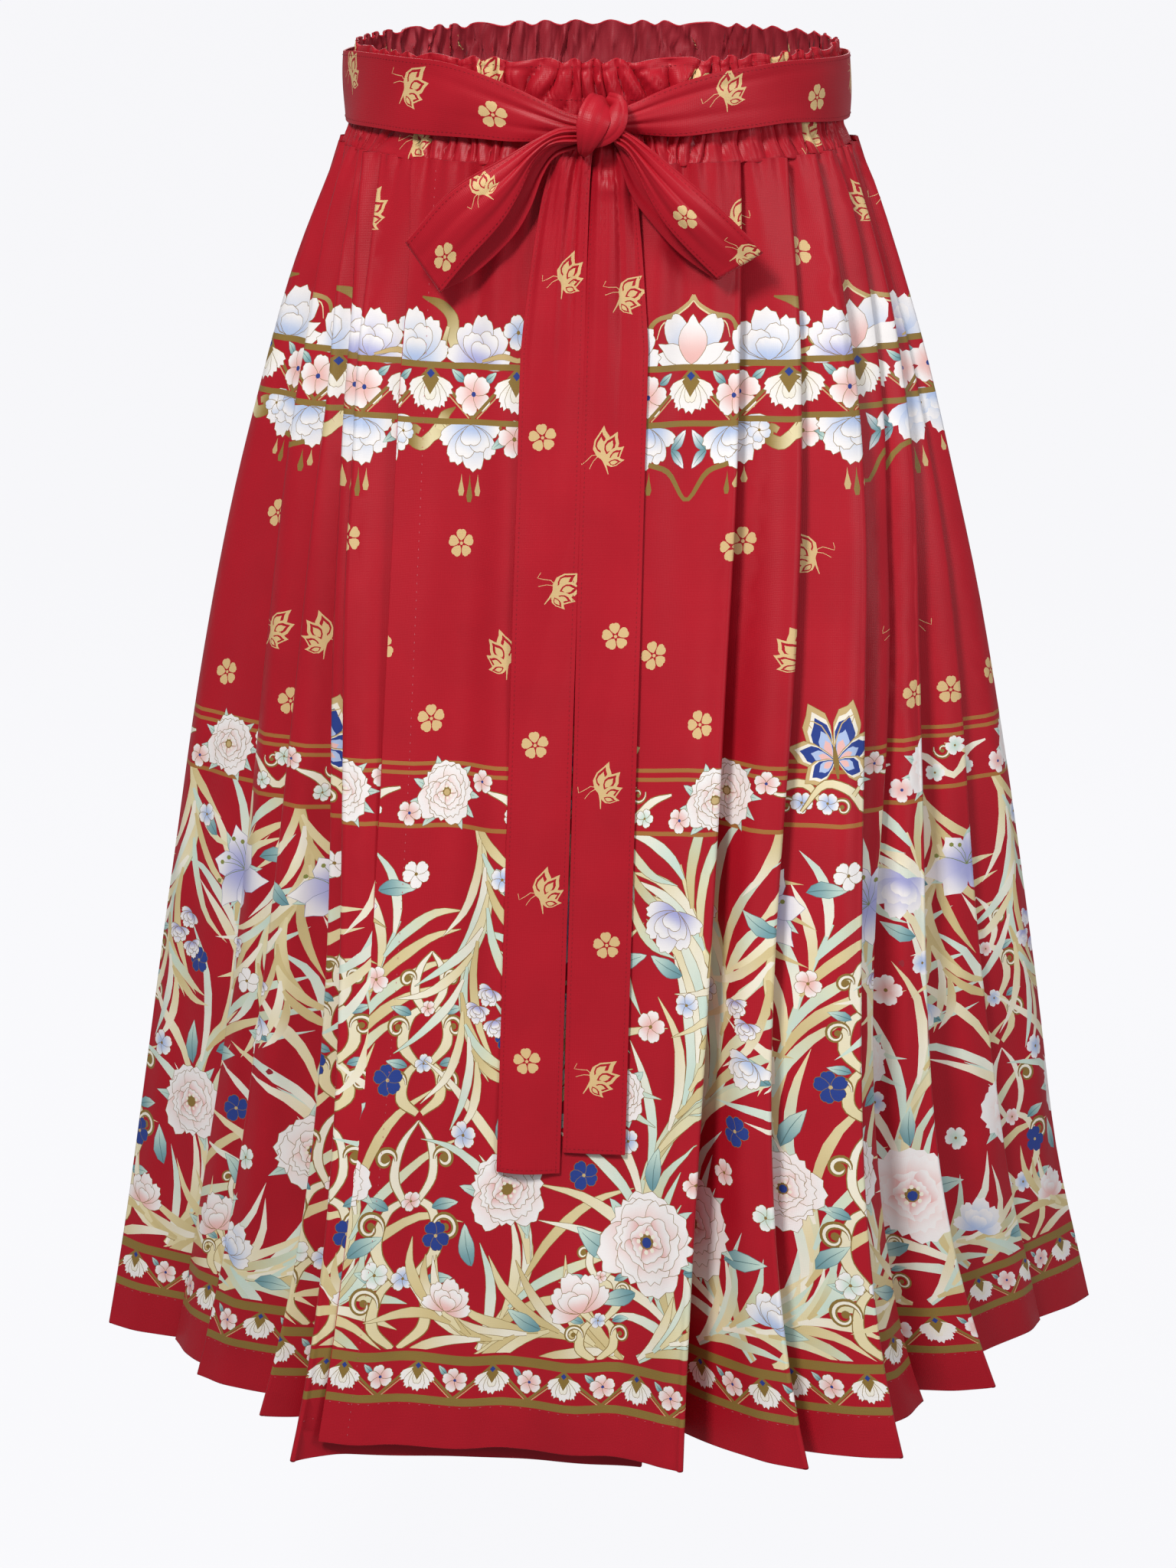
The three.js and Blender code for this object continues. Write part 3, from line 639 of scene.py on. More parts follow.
def lotus(width, base, tip):
    """A lotus seen from the side, sitting on a line."""
    d = Drawing()
    for turn, reach, wide in ((-78, .56, .26), (78, .56, .26), (-30, .66, .34), (30, .66, .34),
                              (-62, .52, .24), (62, .52, .24)):
        form, colour = (POINTED, tip) if abs(turn) > 50 else (ROUND, SKY)
        petal(d, (0, 0), turn, width * reach, width * wide, form, colour, tip)
    petal(d, (0, 0), 0, width * .56, width * .42, POINTED, base, tip)
    return d


def half_peony(radius, base, tip):
    """A blossom seen from the side, opening upward."""
    d = Drawing()
    for turn, reach, wide, form in (
        (-76, .92, .44, WAVED), (74, .86, .44, WAVED), (-40, 1.04, .56, WAVED), (40, .98, .54, ROUND),
        (0, 1.12, .6, WAVED), (-22, .8, .56, ROUND), (24, .72, .54, WAVED),
    ):
        petal(d, (0, 0), turn, radius * reach, radius * wide, form, base, tip, 0.3, .08 * math.sin(turn))
    petal(d, (0, -radius * .02), -6, radius * .5, radius * .58, ROUND, base, tip)
    return d


def leaf(length, width, bend=0.25, base=TEAL, tip=MINT):
    """A bent leaf with its vein."""
    d = Drawing()
    form = [(0, 0), (.36, .22), (.5, .5), (.3, .78), (0, 1.05), (-.34, .74), (-.48, .45), (-.3, .18)]
    p = np.array(form) * [width, length]
    p[:, 0] += bend * length * (p[:, 1] / length) ** 2
    d.inked(closed(p, 3), Paint(base, tip, (0, 0), (bend * length, length)), 0.25, LEAF_INK)
    vein = [(0, length * .04), (bend * length * .3, length * .5), (bend * length * .85, length * .9)]
    d.stroke(vein, [.5, .35, .15], LEAF_INK, 6)
    return d


SCROLL_STEPS = 26
SCROLL_TURNS = 1.2


def scroll(reach, thick, light, start):
    """A spiral scroll with a light line along it: a curl that ends in a bulb."""
    d = Drawing()
    points = []
    for k in range(SCROLL_STEPS):
        s = k / (SCROLL_STEPS - 1)
        a = math.radians(start - 360 * SCROLL_TURNS * s)
        r = reach * (1 - s) ** 0.8 * 0.98 + reach * .1
        points.append((r * math.cos(a), r * math.sin(a)))
    points = np.array(points)
    widths = [thick * .3, thick * .9, thick, thick * .9, thick * .7, thick * .5, thick * .55]
    d.stroke(points, widths, OLIVE, 34)
    d.stroke(points * 0.965, [w * .38 for w in widths], light, 34)
    dot(d, points[-1], thick * .5, OLIVE)
    return d


def plume(line, strands, reach, thick, turn, first, second, seed, balance):
    """Long tapered blades that part from a swaying stem on both sides and trail along it."""
    d = Drawing()
    mid = curve(line, 40)
    run = np.gradient(mid, axis=0)
    angles = np.unwrap(np.arctan2(run[:, 1], run[:, 0]))
    stem = Paint(first, second, mid[0], mid[-1])
    d.stroke(line, [thick * .8, thick, thick * .7, thick * .3], stem, 30, 0.3)
    ink = 0.28 if DETAIL[0] > BLADE_INK_FROM else 0
    for k in range(strands):
        s = (k + .4) / strands
        i = int(s * 39)
        side = balance[k % len(balance)]
        long = reach * (.5 + .55 * math.sin(math.pi * (.2 + .72 * s))) * (1 + .14 * math.sin(2.7 * k + seed))
        points = [mid[i]]
        for step, bend in ((.3, .5), (.37, 1.0), (.36, 1.55 + .25 * math.sin(k * 1.7 + seed))):
            a = angles[i] + side * math.radians(turn) * bend
            points.append(points[-1] + long * step * np.array([math.cos(a), math.sin(a)]))
        tone, other = ((second, IVORY), (first, SAND), (IVORY, first), (first, second))[(k + seed) % 4]
        widths = [thick * .3, thick * .8, thick, thick * .66, .1]
        d.stroke(points, widths, Paint(other, tone, points[0], points[-1]), 13, ink)
    return d


def leaf_scroll(long, thick, first, second):
    """A rolled leaf: a curl that opens into a broad pointed blade."""
    d = Drawing()
    def sized(*places):
        return [(long * x, long * z) for x, z in places]

    body = sized((0, 0), (.16, -.12), (.34, -.04), (.3, .1), (.2, .06))
    blend = Paint(first, second, (0, 0), (long * .4, 0))
    d.stroke(body, [thick * .9, thick, thick * .9, thick * .6, thick * .5], blend, 22, 0.3)
    blade = sized((0, 0), (-.2, .14), (-.44, .1), (-.66, .26))
    blend = Paint(first, second, (0, 0), (-long * .66, long * .2))
    d.stroke(blade, [thick * .9, thick * 1.35, thick, .2], blend, 18, 0.3)
    lobe = sized((-.12, .1), (-.2, .3), (-.36, .42))
    d.stroke(lobe, [thick * .8, thick * .8, .2], Paint(first, second, lobe[0], lobe[-1]), 10, 0.3)
    return d


def scroll_column(height, wide):
    """An upright of paired scrolls, mirrored about its middle line."""
    d = Drawing()
    half = Drawing()
    fade = Paint(CREAM, IVORY, (0, 0), (0, height))
    stems = (
        (((.04, 0), (.34, .1), (.3, .24), (.1, .32)), [3, 6.4, 5, 3], 22),
        (((.1, .3), (.4, .44), (.32, .6), (.08, .66)), [3, 6.4, 5, 3], 22),
        (((.08, .64), (.26, .76), (.2, .9), (0, 1)), [3, 5, 4, .6], 20),
    )
    for places, widths, samples in stems:
        half.stroke([(wide * x, height * z) for x, z in places], widths, fade, samples, .6)
    for at, size in (((.5, .2), .2), ((.52, .54), .18), ((.4, .84), .13)):
        half.add(scroll(wide * size, wide * .11, IVORY, 190), (wide * at[0], height * at[1]))
    for at, lean in (((.3, .3), -64), ((.3, .62), -58)):
        half.add(leaf(wide * .36, wide * .16, .2, TEAL, MINT), (wide * at[0], height * at[1]), lean)
    d.add(half)
    d.add(half, (0, 0), 0, 1, True)
    d.add(blossom(wide * .16, SKY, WHITE, OLIVE), (0, height * .31), 10)
    d.add(blossom(wide * .13, PINK, WHITE, OLIVE), (0, height * .65), 30)
    return d


def drop(draw, at, length, width, colour):
    """A hanging drop."""
    form = [(0, 0), (.12, -.3), (.5, -.78), (.3, -1.0), (-.3, -1.0), (-.5, -.78), (-.12, -.3)]
    draw.fill(closed(np.array(form) * [width, length], 2) + at, colour)


def small_butterfly(size):
    """A little gold butterfly in profile, drawn in one colour."""
    d = Drawing()

    def wing(turn, length, width, lean):
        p = np.array(POINTED) * [width, length]
        p[:, 0] += lean * length * (p[:, 1] / length) ** 2
        p = turned(closed(p, 3), turn)
        d.fill(p, MOTIF_GOLD)
        d.fill(p * .62 + turned([(0, length * .24)], turn), RED)
        d.fill(p * .4 + turned([(0, length * .32)], turn), MOTIF_GOLD)

    wings = ((-14, 1, .62, .25), (-48, .92, .58, .1), (-96, .7, .46, -.2), (-132, .58, .36, -.25))
    for turn, long, wide, lean in wings:
        wing(turn, size * long, size * wide, lean)
    d.stroke([(-size * .06, size * .3), (0, 0), (-size * .08, -size * .42)], [.7, 1.3, .4], MOTIF_GOLD, 8)
    upper = ((-.05, .26), (-.3, .34), (-.62, .2), (-.62, .42))
    lower = ((-.05, .22), (-.28, .16), (-.5, 0))
    d.stroke([(size * x, size * z) for x, z in upper], [.4, .35, .3, .3], MOTIF_GOLD, 10)
    d.stroke([(size * x, size * z) for x, z in lower], [.4, .3, .3], MOTIF_GOLD, 8)
    return d


def small_blossom(radius):
    """A little gold flower, drawn in one colour."""
    d = Drawing()
    for k in range(5):
        p = turned(closed(np.array(ROUND) * [radius * .78, radius * .8] + [0, radius * .18], 2), k * 72 + 8)
        d.fill(p, MOTIF_GOLD)
    dot(d, (0, 0), radius * .13, MOTIF_GOLD, 6)
    return d


def big_butterfly(size):
    """A butterfly with eye-spotted wings, spread flat."""
    d = Drawing()
    for side in (-1, 1):
        for turn, length, width, lean in ((34, 1.0, .62, .2), (78, .82, .5, .1), (118, .66, .46, -.1)):
            for scale, colour in ((1.0, GOLD), (.84, IVORY), (.72, NAVY), (.46, SKY), (.28, PINK)):
                root = tuple(turned([(0, size * .1 * (1 - scale))], -side * turn)[0])
                petal(d, root, -side * turn, size * length * scale, size * width * scale, LONG,
                      colour, colour, 0.22 if scale == 1 else 0.0, -side * lean)
    d.stroke([(0, size * .26), (0, -size * .34)], [1.2, 3.2, 1.0], OLIVE, 8)
    for side in (-1, 1):
        feeler = ((0, .22), (.18, .6), (.42, .72), (.36, .58))
        d.stroke([(side * size * x, size * z) for x, z in feeler], [.7, .6, .5], GOLD, 10)
    return d


def palmette(height, width):
    """A hanging palmette under the top of a triangle."""
    d = Drawing()
    for turn, reach in ((-52, .86), (52, .86), (-26, .98), (26, .98)):
        long = height * reach * .8
        petal(d, (0, -height * .18), 180 + turn, long, width * .24, FRILLED, IVORY, WHITE, 0.28, per=2)
    petal(d, (0, -height * .14), 180, height * .84, width * .34, FRILLED, IVORY, WHITE, 0.28, per=2)
    petal(d, (0, -height * .24), 180, height * .5, width * .2, ROUND, WHITE, IVORY, 0.25, per=2)
    for colour, top, wide, middle, low in ((OLIVE, .02, .15, .26, .62), (NAVY, .03, .07, .13, .24)):
        tips = ((0, top), (wide, middle), (0, low), (-wide, middle))
        d.fill([(width * x, -height * z) for x, z in tips], colour)
    return d


LINE_STEP = 7.5


def row_line(draw, x0, x1, top, bottom, colour):
    """A straight line along the cloth."""
    steps = max(2, int((x1 - x0) / LINE_STEP) + 1)
    x = np.linspace(x0, x1, steps)
    lower = np.stack([x, np.full(steps, bottom)], 1)
    upper = np.stack([x[::-1], np.full(steps, top)], 1)
    draw.fill(np.vstack([lower, upper]), colour)


# The bands. Each takes a start and an end along the cloth, and repeats its pattern between them
BORDER_REPEAT = 43.3
UPPER_REPEAT = 216.0
LOWER_REPEAT = 170.0
FIELD_REPEAT = 290.0
SCATTER_REPEAT = 170.0


def starts(x0, x1, repeat):
    """Where the repeats of a pattern start that touch a stretch of cloth."""
    return [k * repeat for k in range(math.floor(x0 / repeat) - 1, math.ceil(x1 / repeat) + 1)]


def beside(x, side, *places):
    """Places given from an upright line at x, put on one side of it."""
    return [(x + side * dx, z) for dx, z in places]


def zigzag(draw, x, period, top, bottom, thick, thin):
    """Two sloping lines, a thick one and a thin one beside it, each side of a triangle's top."""
    apex = (x, top)
    for side in (-1, 1):
        foot = (x + side * period / 2, bottom)
        draw.stroke([apex, foot], [thick, thick], OLIVE, 2)
        inner = side * -thick * 1.35
        second = [(x + inner * 0.2, top - thick * 1.6), (foot[0] + inner, bottom)]
        draw.stroke(second, [thin, thin], GOLD, 2)


def hem_border(draw, x0, x1):
    """The border above the hem: triangles with palmettes, and blossoms between them."""
    top, bottom = -699, -719
    for x in starts(x0, x1, BORDER_REPEAT):
        zigzag(draw, x, BORDER_REPEAT, top, bottom, 1.5, 0.6)
        draw.add(palmette(17.5, 24), (x, top - .4))
        flower = blossom(7.2, PINK, WHITE, NAVY)
        draw.add(leaf(6.5, 3.4), (x + BORDER_REPEAT / 2 - 4.5, top - 6.2), 62)
        draw.add(flower, (x + BORDER_REPEAT / 2 + .4, top - 9.2), 12)
    row_line(draw, x0, x1, -693.6, -699.2, OLIVE)
    row_line(draw, x0, x1, -718.8, -723.6, OLIVE)


def hang_below(draw, x, rolled):
    """What hangs below the upper band: rolled leaves, opening flowers and drops."""
    for side in (-1, 1):
        draw.add(rolled, (x + side * 56, -180), 0, 1.0, side > 0)
        run = beside(x, side, (62, -172), (74, -183), (88, -178), (100, -174))
        draw.stroke(run, [.6, 4.2, 4, .8], Paint(CREAM, OLIVE, run[0], run[-1]), 14, .25)
        for dx, long in ((-5.2, 12), (0, 15.5), (5.2, 12)):
            drop(draw, (x + side * 80 + dx, -200), long, 3.8, OLIVE if dx == 0 else GOLD)
        draw.add(leaf(13, 6, .2 * side, TEAL, WHITE), (x + side * 68, -178), side * -128)
        draw.add(leaf(12, 5.5, -.2 * side, TEAL, WHITE), (x + side * 92, -180), side * 118)
        draw.add(half_peony(22, SKY, WHITE), (x + side * 80, -174), 180 + side * 6)
        draw.add(leaf(13, 6, .2 * side, TEAL, WHITE), (x + side * 11, -186), side * 52)
        draw.add(leaf(12, 5.5, -.2 * side, TEAL, WHITE), (x + side * 11, -186), side * 128)
        draw.add(half_peony(20, SKY, WHITE), (x + side * 25, -174), 180 + side * 14)
        draw.add(blossom(6.5, WHITE, FROST, OLIVE), (x + side * 38, -178), 30 * side)
        for dx, long in ((-2.6, 12.5), (2.8, 9)):
            drop(draw, (x + side * 27 + dx * side, -197), long, 3.8, OLIVE if dx < 0 else GOLD)
    swag = [(x - 25, -193), (x - 12, -198), (x, -213), (x + 12, -198), (x + 25, -193)]
    draw.stroke(swag, [2.6, 3, 2.2, 3, 2.6], OLIVE, 21)
    draw.add(leaf(12, 5.6, .2, TEAL, MINT), (x + 104, -178), 140)
    draw.add(leaf(12, 5.6, -.2, TEAL, MINT), (x + 112, -178), -140)
    draw.add(blossom(10, PINK, WHITE, OLIVE), (x + 108, -180), 14)


def triangle_row(draw, x):
    """The four triangles of the upper band, with a palmette in each and a blossom between them."""
    step = UPPER_REPEAT / 4
    for k in range(4):
        cx = x + step * k
        zigzag(draw, cx, step, -143, -170, 1.9, .7)
        draw.add(palmette(23.5, 36), (cx, -143.2))
        draw.add(leaf(9.5, 4.8), (cx + step / 2 - 6, -150), 66)
        draw.add(leaf(8.5, 4.4, -.2), (cx + step / 2 + 7, -150), -66)
        draw.add(blossom(11.6, PINK, WHITE, NAVY), (cx + step / 2, -157), 20 * k)


def stand_above(draw, x):
    """What stands on the upper band: the lotus in its arch, rolled leaves and opening flowers."""
    arch = Drawing()
    outside = [(0, -103), (3, -108), (12, -113), (22, -115), (27, -120), (29, -130), (27, -140)]
    blend = Paint(GOLD, OLIVE, (0, -103), (28, -138))
    arch.stroke(outside, [1.6, 2.6, 2.8, 2.4, 2.8, 2.4, 1.6], blend, 26)
    arch.stroke([(0, -106), (4, -110), (13, -115), (20, -118), (23, -126)], [.6, .9, .9, .8, .4], CREAM, 18)
    draw.add(arch, (x, 0))
    draw.add(arch, (x, 0), 0, 1, True)
    draw.add(lotus(45, PINK, WHITE), (x, -140))
    for side in (-1, 1):
        blade = beside(x, side, (72, -139), (67, -127), (66, -116), (58, -109), (46, -106))
        blend = Paint(CREAM, OLIVE, *beside(x, side, (70, -138), (48, -106)))
        draw.stroke(blade, [4, 6.4, 6.4, 5, .3], blend, 22, .3)
        curl = beside(x, side, (64, -121), (62, -131), (68, -136), (73, -132))
        blend = Paint(CREAM, OLIVE, *beside(x, side, (62, -121), (72, -134)))
        draw.stroke(curl, [2, 3.6, 3.4, 2.6], blend, 16, .3)
        draw.add(half_peony(25, SKY, WHITE), (x + side * 43, -140), side * 4)
        draw.add(leaf(11, 5.2, .2 * side, TEAL, MINT), (x + side * 72, -139), -side * 20)
        draw.add(half_peony(23, LILAC, WHITE), (x + side * 83, -140), -side * 8)
        draw.add(scroll(5.6, 2.8, CREAM, 200), (x + 108 + side * 12, -131), 0, 1, side > 0)
    foot = beside(x, 1, (86, -139), (98, -136), (108, -138), (118, -136), (130, -139))
    draw.stroke(foot, [1, 3, 2.4, 3, 1], GOLD, 18, .2)
    draw.add(blossom(9.5, SKY, WHITE, OLIVE), (x + 108, -123), 14)


def upper_band(draw, x0, x1):
    rolled = leaf_scroll(38, 6.8, CREAM, OLIVE)
    for x in starts(x0, x1, UPPER_REPEAT):
        hang_below(draw, x, rolled)
        triangle_row(draw, x)
        stand_above(draw, x)
    row_line(draw, x0, x1, -140, -143.4, OLIVE)
    row_line(draw, x0, x1, -170.2, -173.4, OLIVE)


# Loose motifs: place along the cloth, height, turn, kind (1 a blossom)
SCATTER = (
    (24, -68, 0, 0), (116, -84, 20, 1), (30, -238, 10, 1), (112, -250, 8, 0),
    (154, -296, 25, 1), (64, -302, -12, 0), (16, -334, 12, 1), (84, -338, 0, 1),
)


def scatter(draw, x0, x1):
    """The loose butterflies and blossoms, about half of them mirrored."""
    for k, x in enumerate(starts(x0, x1, SCATTER_REPEAT)):
        for dx, z, turn, kind in SCATTER:
            item = small_blossom(8) if kind else small_butterfly(18.5)
            draw.add(item, (x + dx, z), turn, 1.0, (k + int(dx)) % 2 == 0)


def lower_band(draw, x0, x1):
    """The lower band: waves with scrolls, peonies and the blue butterfly."""
    for x in starts(x0, x1, LOWER_REPEAT):
        for side, cx in ((1, x - 30), (-1, x + 86)):
            wave = beside(cx, side, (-34, -386), (-22, -371), (-8, -374), (4, -387), (18, -376), (30, -372))
            draw.stroke(wave, [1, 4, 4.6, 4, 4.2, 1], Paint(CREAM, IVORY, wave[0], wave[-1]), 30, .5)
            draw.add(scroll(5, 2.6, IVORY, 200), (cx - side * 12, -383), 0, 1, side < 0)
            draw.add(scroll(4.6, 2.4, IVORY, 20), (cx + side * 9, -372), 0, 1, side < 0)
            shoot = beside(cx, side, (-6, -377), (1, -370), (8, -368))
            draw.stroke(shoot, [2.4, 2, .3], CREAM, 9, .3)
            for dx, z, r in ((-20, -381, 6), (14, -385, 5.2), (2, -370, 5.6)):
                draw.add(blossom(r, MINT if dx > 0 else SKY, WHITE, OLIVE), (cx + side * dx, z), dx * 9)
        for turn in (28, -34, 150, -140, 75, -80, 108, -112):
            draw.add(leaf(21, 7.5, .15, TEAL, MINT), (x + 28, -376), turn)
        draw.add(peony(17.5, PINK, SHELL, WHITE, GOLD), (x + 28, -375), 10)
        draw.add(blossom(7, PINK, WHITE, NAVY), (x + 6, -386), 40)
        draw.add(blossom(6.5, PINK, WHITE, NAVY), (x + 52, -367), 0)
        draw.add(big_butterfly(31), (x + 124, -357), 8)


def lower_lines(draw, x0, x1):
    for top, bottom in ((-357.6, -359.8), (-362.6, -364.8), (-392.0, -394.4)):
        row_line(draw, x0, x1, top, bottom, BRONZE)


# The tall planting, plume by plume: stem, how many blades, their reach, thickness and parting, two
# colours, a number that varies the blades, and the sides on which they follow each other
PLUMES = (
    (((-96, -690), (-70, -640), (-84, -580), (-58, -520), (-70, -462), (-52, -408)),
     28, 76, 6.2, 32, CREAM, MINT, 0, (1, -1)),
    (((40, -690), (10, -648), (-2, -590), (24, -530), (30, -470), (8, -410)),
     30, 80, 6.4, 34, MINT, CREAM, 1, (-1, 1)),
    (((52, -692), (96, -664), (112, -610), (92, -556), (104, -500), (124, -446)),
     27, 74, 6.2, 36, CREAM, MINT, 2, (1, -1)),
    (((-10, -692), (-48, -676), (-92, -684), (-132, -664)), 19, 58, 6.0, 34, CREAM, SAND, 3, (-1, 1, -1)),
    (((0, -690), (34, -672), (80, -678), (120, -660)), 20, 60, 6.0, 34, MINT, CREAM, 4, (1, -1, 1)),
    (((-120, -388), (-110, -436), (-124, -486), (-108, -530)), 18, 60, 5.6, 34, CREAM, MINT, 5, (1, -1)),
    (((60, -388), (70, -430), (58, -474), (70, -512)), 17, 56, 5.4, 36, SAND, CREAM, 6, (-1, 1)),
    (((-30, -388), (-22, -436), (-38, -490), (-26, -540)), 15, 52, 5.2, 36, MINT, CREAM, 7, (1, -1)),
)
# Flowers over it: place, height, kind, size, turn
FIELD_FLOWERS = (
    (-66, -446, "lily", 27, 12), (86, -440, "lily", 25, -40), (8, -436, "bell", 21, 160),
    (2, -622, "peony", 29, 0), (-86, -596, "rose", 23, 30), (96, -596, "pale", 22, 70),
    (-36, -664, "open", 21, 24), (54, -668, "sky", 20, -26), (-118, -668, "open", 17, -10),
    (-20, -540, "pale", 15, 20), (50, -520, "sky", 15, 150),
)
FLOWERS = {
    "lily": lily,
    "peony": peony,
    "rose": lambda size: peony(size, ROSE, PINK, WHITE, OLIVE),
    "pale": lambda size: peony(size, PINK, BLUSH, WHITE),
    "bell": lambda size: half_peony(size, LILAC, WHITE),
    "open": lambda size: half_peony(size, PINK, WHITE),
    "sky": lambda size: half_peony(size, SKY, WHITE),
}
# Leaves round a flower: their turns, length by the flower's size, and width
FLOWER_LEAVES = {
    "lily": ((40, 165, 290), .9, 8),
    "peony": ((60, 120, 200, 260, 320), 1.1, 11),
    "rose": ((70, 190, 310), 1.2, 10),
    "pale": ((70, 190, 310), 1.2, 10),
}
# Small flowers: place, height, radius, colour
FIELD_BLOSSOMS = (
    (-116, -566, 8, SKY), (-44, -506, 8, WHITE), (40, -560, 8.5, NAVY), (124, -536, 9, NAVY),
    (-40, -586, 8.5, NAVY), (56, -606, 7.5, MINT), (-128, -626, 8.5, NAVY), (128, -648, 8, MINT),
    (-4, -500, 9, PINK), (18, -486, 7, SKY), (132, -420, 8, WHITE), (-92, -508, 8, NAVY),
    (-14, -566, 7, SKY), (30, -586, 7.5, PINK), (112, -480, 7.5, PINK), (-102, -420, 7, SKY),
)
# Loose leaves: place, height, turn, size
FIELD_LEAVES = (
    (-88, -572, 20, 1.3), (-70, -560, -60, 1.2), (60, -532, 60, 1.2), (96, -572, -20, 1.3),
    (-18, -632, 70, 1.4), (26, -636, -70, 1.4), (4, -592, 10, 1.2), (-104, -640, 30, 1.2),
    (110, -640, -40, 1.2), (14, -470, 80, 1.1), (-30, -470, -50, 1.1), (-4, -652, 120, 1.2),
    (-90, -430, 60, 1.1), (-44, -430, -70, 1.1), (110, -430, -70, 1.1), (62, -450, 70, 1.1),
    (-60, -676, 80, 1.1), (78, -680, -80, 1.1),
)
# Bell flowers on the stems: place, height, turn
FIELD_BELLS = (
    (-104, -482, 150), (-112, -492, 170), (-101, -499, 200), (40, -488, 190), (48, -499, 165),
    (-60, -486, 200),
)


def field(draw, x0, x1):
    """A planting between the lower band and the hem: plumes of long blades, lilies, peonies, small
    blossoms and uprights of scrolls."""
    w = FIELD_REPEAT
    plumes = [plume(*spec) for spec in PLUMES]
    column = scroll_column(132, 44)
    short = scroll_column(92, 34)
    for x in starts(x0, x1, w):
        for grown_plume in plumes:
            draw.add(grown_plume, (x, 0))
        draw.add(column, (x + w / 2, -692))
        draw.add(short, (x + w / 2, -556))
        draw.add(short, (x - 26, -692), 0, .8)
        for ax, az, turn, size in FIELD_LEAVES:
            draw.add(leaf(19, 8.6, .25), (x + ax, az), turn, size)
        for ax, az, kind, size, turn in FIELD_FLOWERS:
            turns, long, wide = FLOWER_LEAVES.get(kind, ((), 0, 0))
            for k in turns:
                draw.add(leaf(size * long, wide, .2, TEAL, MINT), (x + ax, az), turn + k)
            draw.add(FLOWERS[kind](size), (x + ax, az), turn)
        for ax, az, r, tone in FIELD_BLOSSOMS:
            tip, heart = (NAVY, GOLD) if tone == NAVY else (WHITE, OLIVE)
            draw.add(blossom(r, tone, tip, heart), (x + ax, az), ax * 3)
        for ax, az, turn in FIELD_BELLS:
            draw.add(half_peony(9, LILAC, WHITE), (x + ax, az), turn)


def whole_print(x0, x1):
    """Everything printed between two places along the cloth."""
    d = Drawing()
    scatter(d, x0, x1)
    field(d, x0, x1)
    row_line(d, x0, x1, -357, -393, RED)
    row_line(d, x0, x1, -692, -745, RED)
    lower_lines(d, x0, x1)
    lower_band(d, x0, x1)
    upper_band(d, x0, x1)
    hem_border(d, x0, x1)
    return d


def to_linear(colours):
    """Screen colours as the linear light that the renderer works in."""
    return np.where(colours <= 0.04045, colours / 12.92, ((colours + 0.055) / 1.055) ** 2.4)


def show(name, data):
    """Puts an object into the scene."""
    thing = bpy.data.objects.new(name, data)
    bpy.context.scene.collection.objects.link(thing)
    return thing


class Piece:
    """Gathers triangles with colours and normals, and makes them into one object."""

    def __init__(self, name):
        self.name = name
        self.places, self.normals, self.faces, self.colours, self.kinds, self.cloth = [], [], [], [], [], []
        self.count = 0

    def add(self, places, normals, faces, colours, kind=0, cloth=None):
        """colours is one per corner, or a single colour. kind is the material's number."""
        faces = np.asarray(faces, int).reshape(-1, 3)
        if not len(faces):
            return
        if np.ndim(colours) == 1:
            colours = np.tile(np.asarray(colours, float), (len(faces), 3, 1))
        self.places.append(places)
        self.normals.append(normals)
        self.faces.append(faces + self.count)
        self.colours.append(colours)
        self.kinds.append(np.full(len(faces), kind))
        self.cloth.append(np.zeros((len(places), 2)) if cloth is None else cloth)
        self.count += len(places)

    def make(self, materials):
        places = np.concatenate(self.places) * MM
        normals = np.concatenate(self.normals)
        faces = np.concatenate(self.faces)
        colours = np.concatenate(self.colours).reshape(-1, 3)
        cloth = np.concatenate(self.cloth)
        mesh = bpy.data.meshes.new(self.name)
        mesh.vertices.add(len(places))
        mesh.vertices.foreach_set("co", places.ravel())
        mesh.loops.add(faces.size)
        mesh.loops.foreach_set("vertex_index", faces.ravel())
        mesh.polygons.add(len(faces))
        mesh.polygons.foreach_set("loop_start", np.arange(len(faces)) * 3)
        for material in materials:
            mesh.materials.append(material)
        mesh.polygons.foreach_set("material_index", np.concatenate(self.kinds))
        linear = to_linear(colours)
        layer = mesh.color_attributes.new("Print", "FLOAT_COLOR", "CORNER")
        layer.data.foreach_set("color", np.hstack([linear, np.ones((len(linear), 1))]).ravel())
        uv = mesh.uv_layers.new(name="Cloth")
        uv.data.foreach_set("uv", (cloth[faces.ravel()] * MM).ravel())
        mesh.update(calc_edges=True)
        mesh.polygons.foreach_set("use_smooth", np.ones(len(faces), bool))
        mesh.normals_split_custom_set_from_vertices(unit(normals))
        print(self.name, len(faces), "triangles")
        return show(self.name, mesh)


# How far apart the places are whose difference gives a cloth's slope
STEP_U, STEP_Z = 0.3, 1.0


def surface_at(place, u, z):
    """Points of a cloth and its outward normals."""
    at = place(u, z)
    across = place(u + STEP_U, z) - place(u - STEP_U, z)
    upward = place(u, z + STEP_Z) - place(u, z - STEP_Z)
    return at, unit(np.cross(across, upward))


# How far a cloth's outer side and its reverse lie from its middle, and the reverse of a panel
OUTER, INNER = 0.55, 0.5
PANEL_INNER = 0.95


def inside(points, left, right):
    """Which places lie between a cloth's ends."""
    return (points[:, 0] > left(points[:, 1])) & (points[:, 0] < right(points[:, 1]))


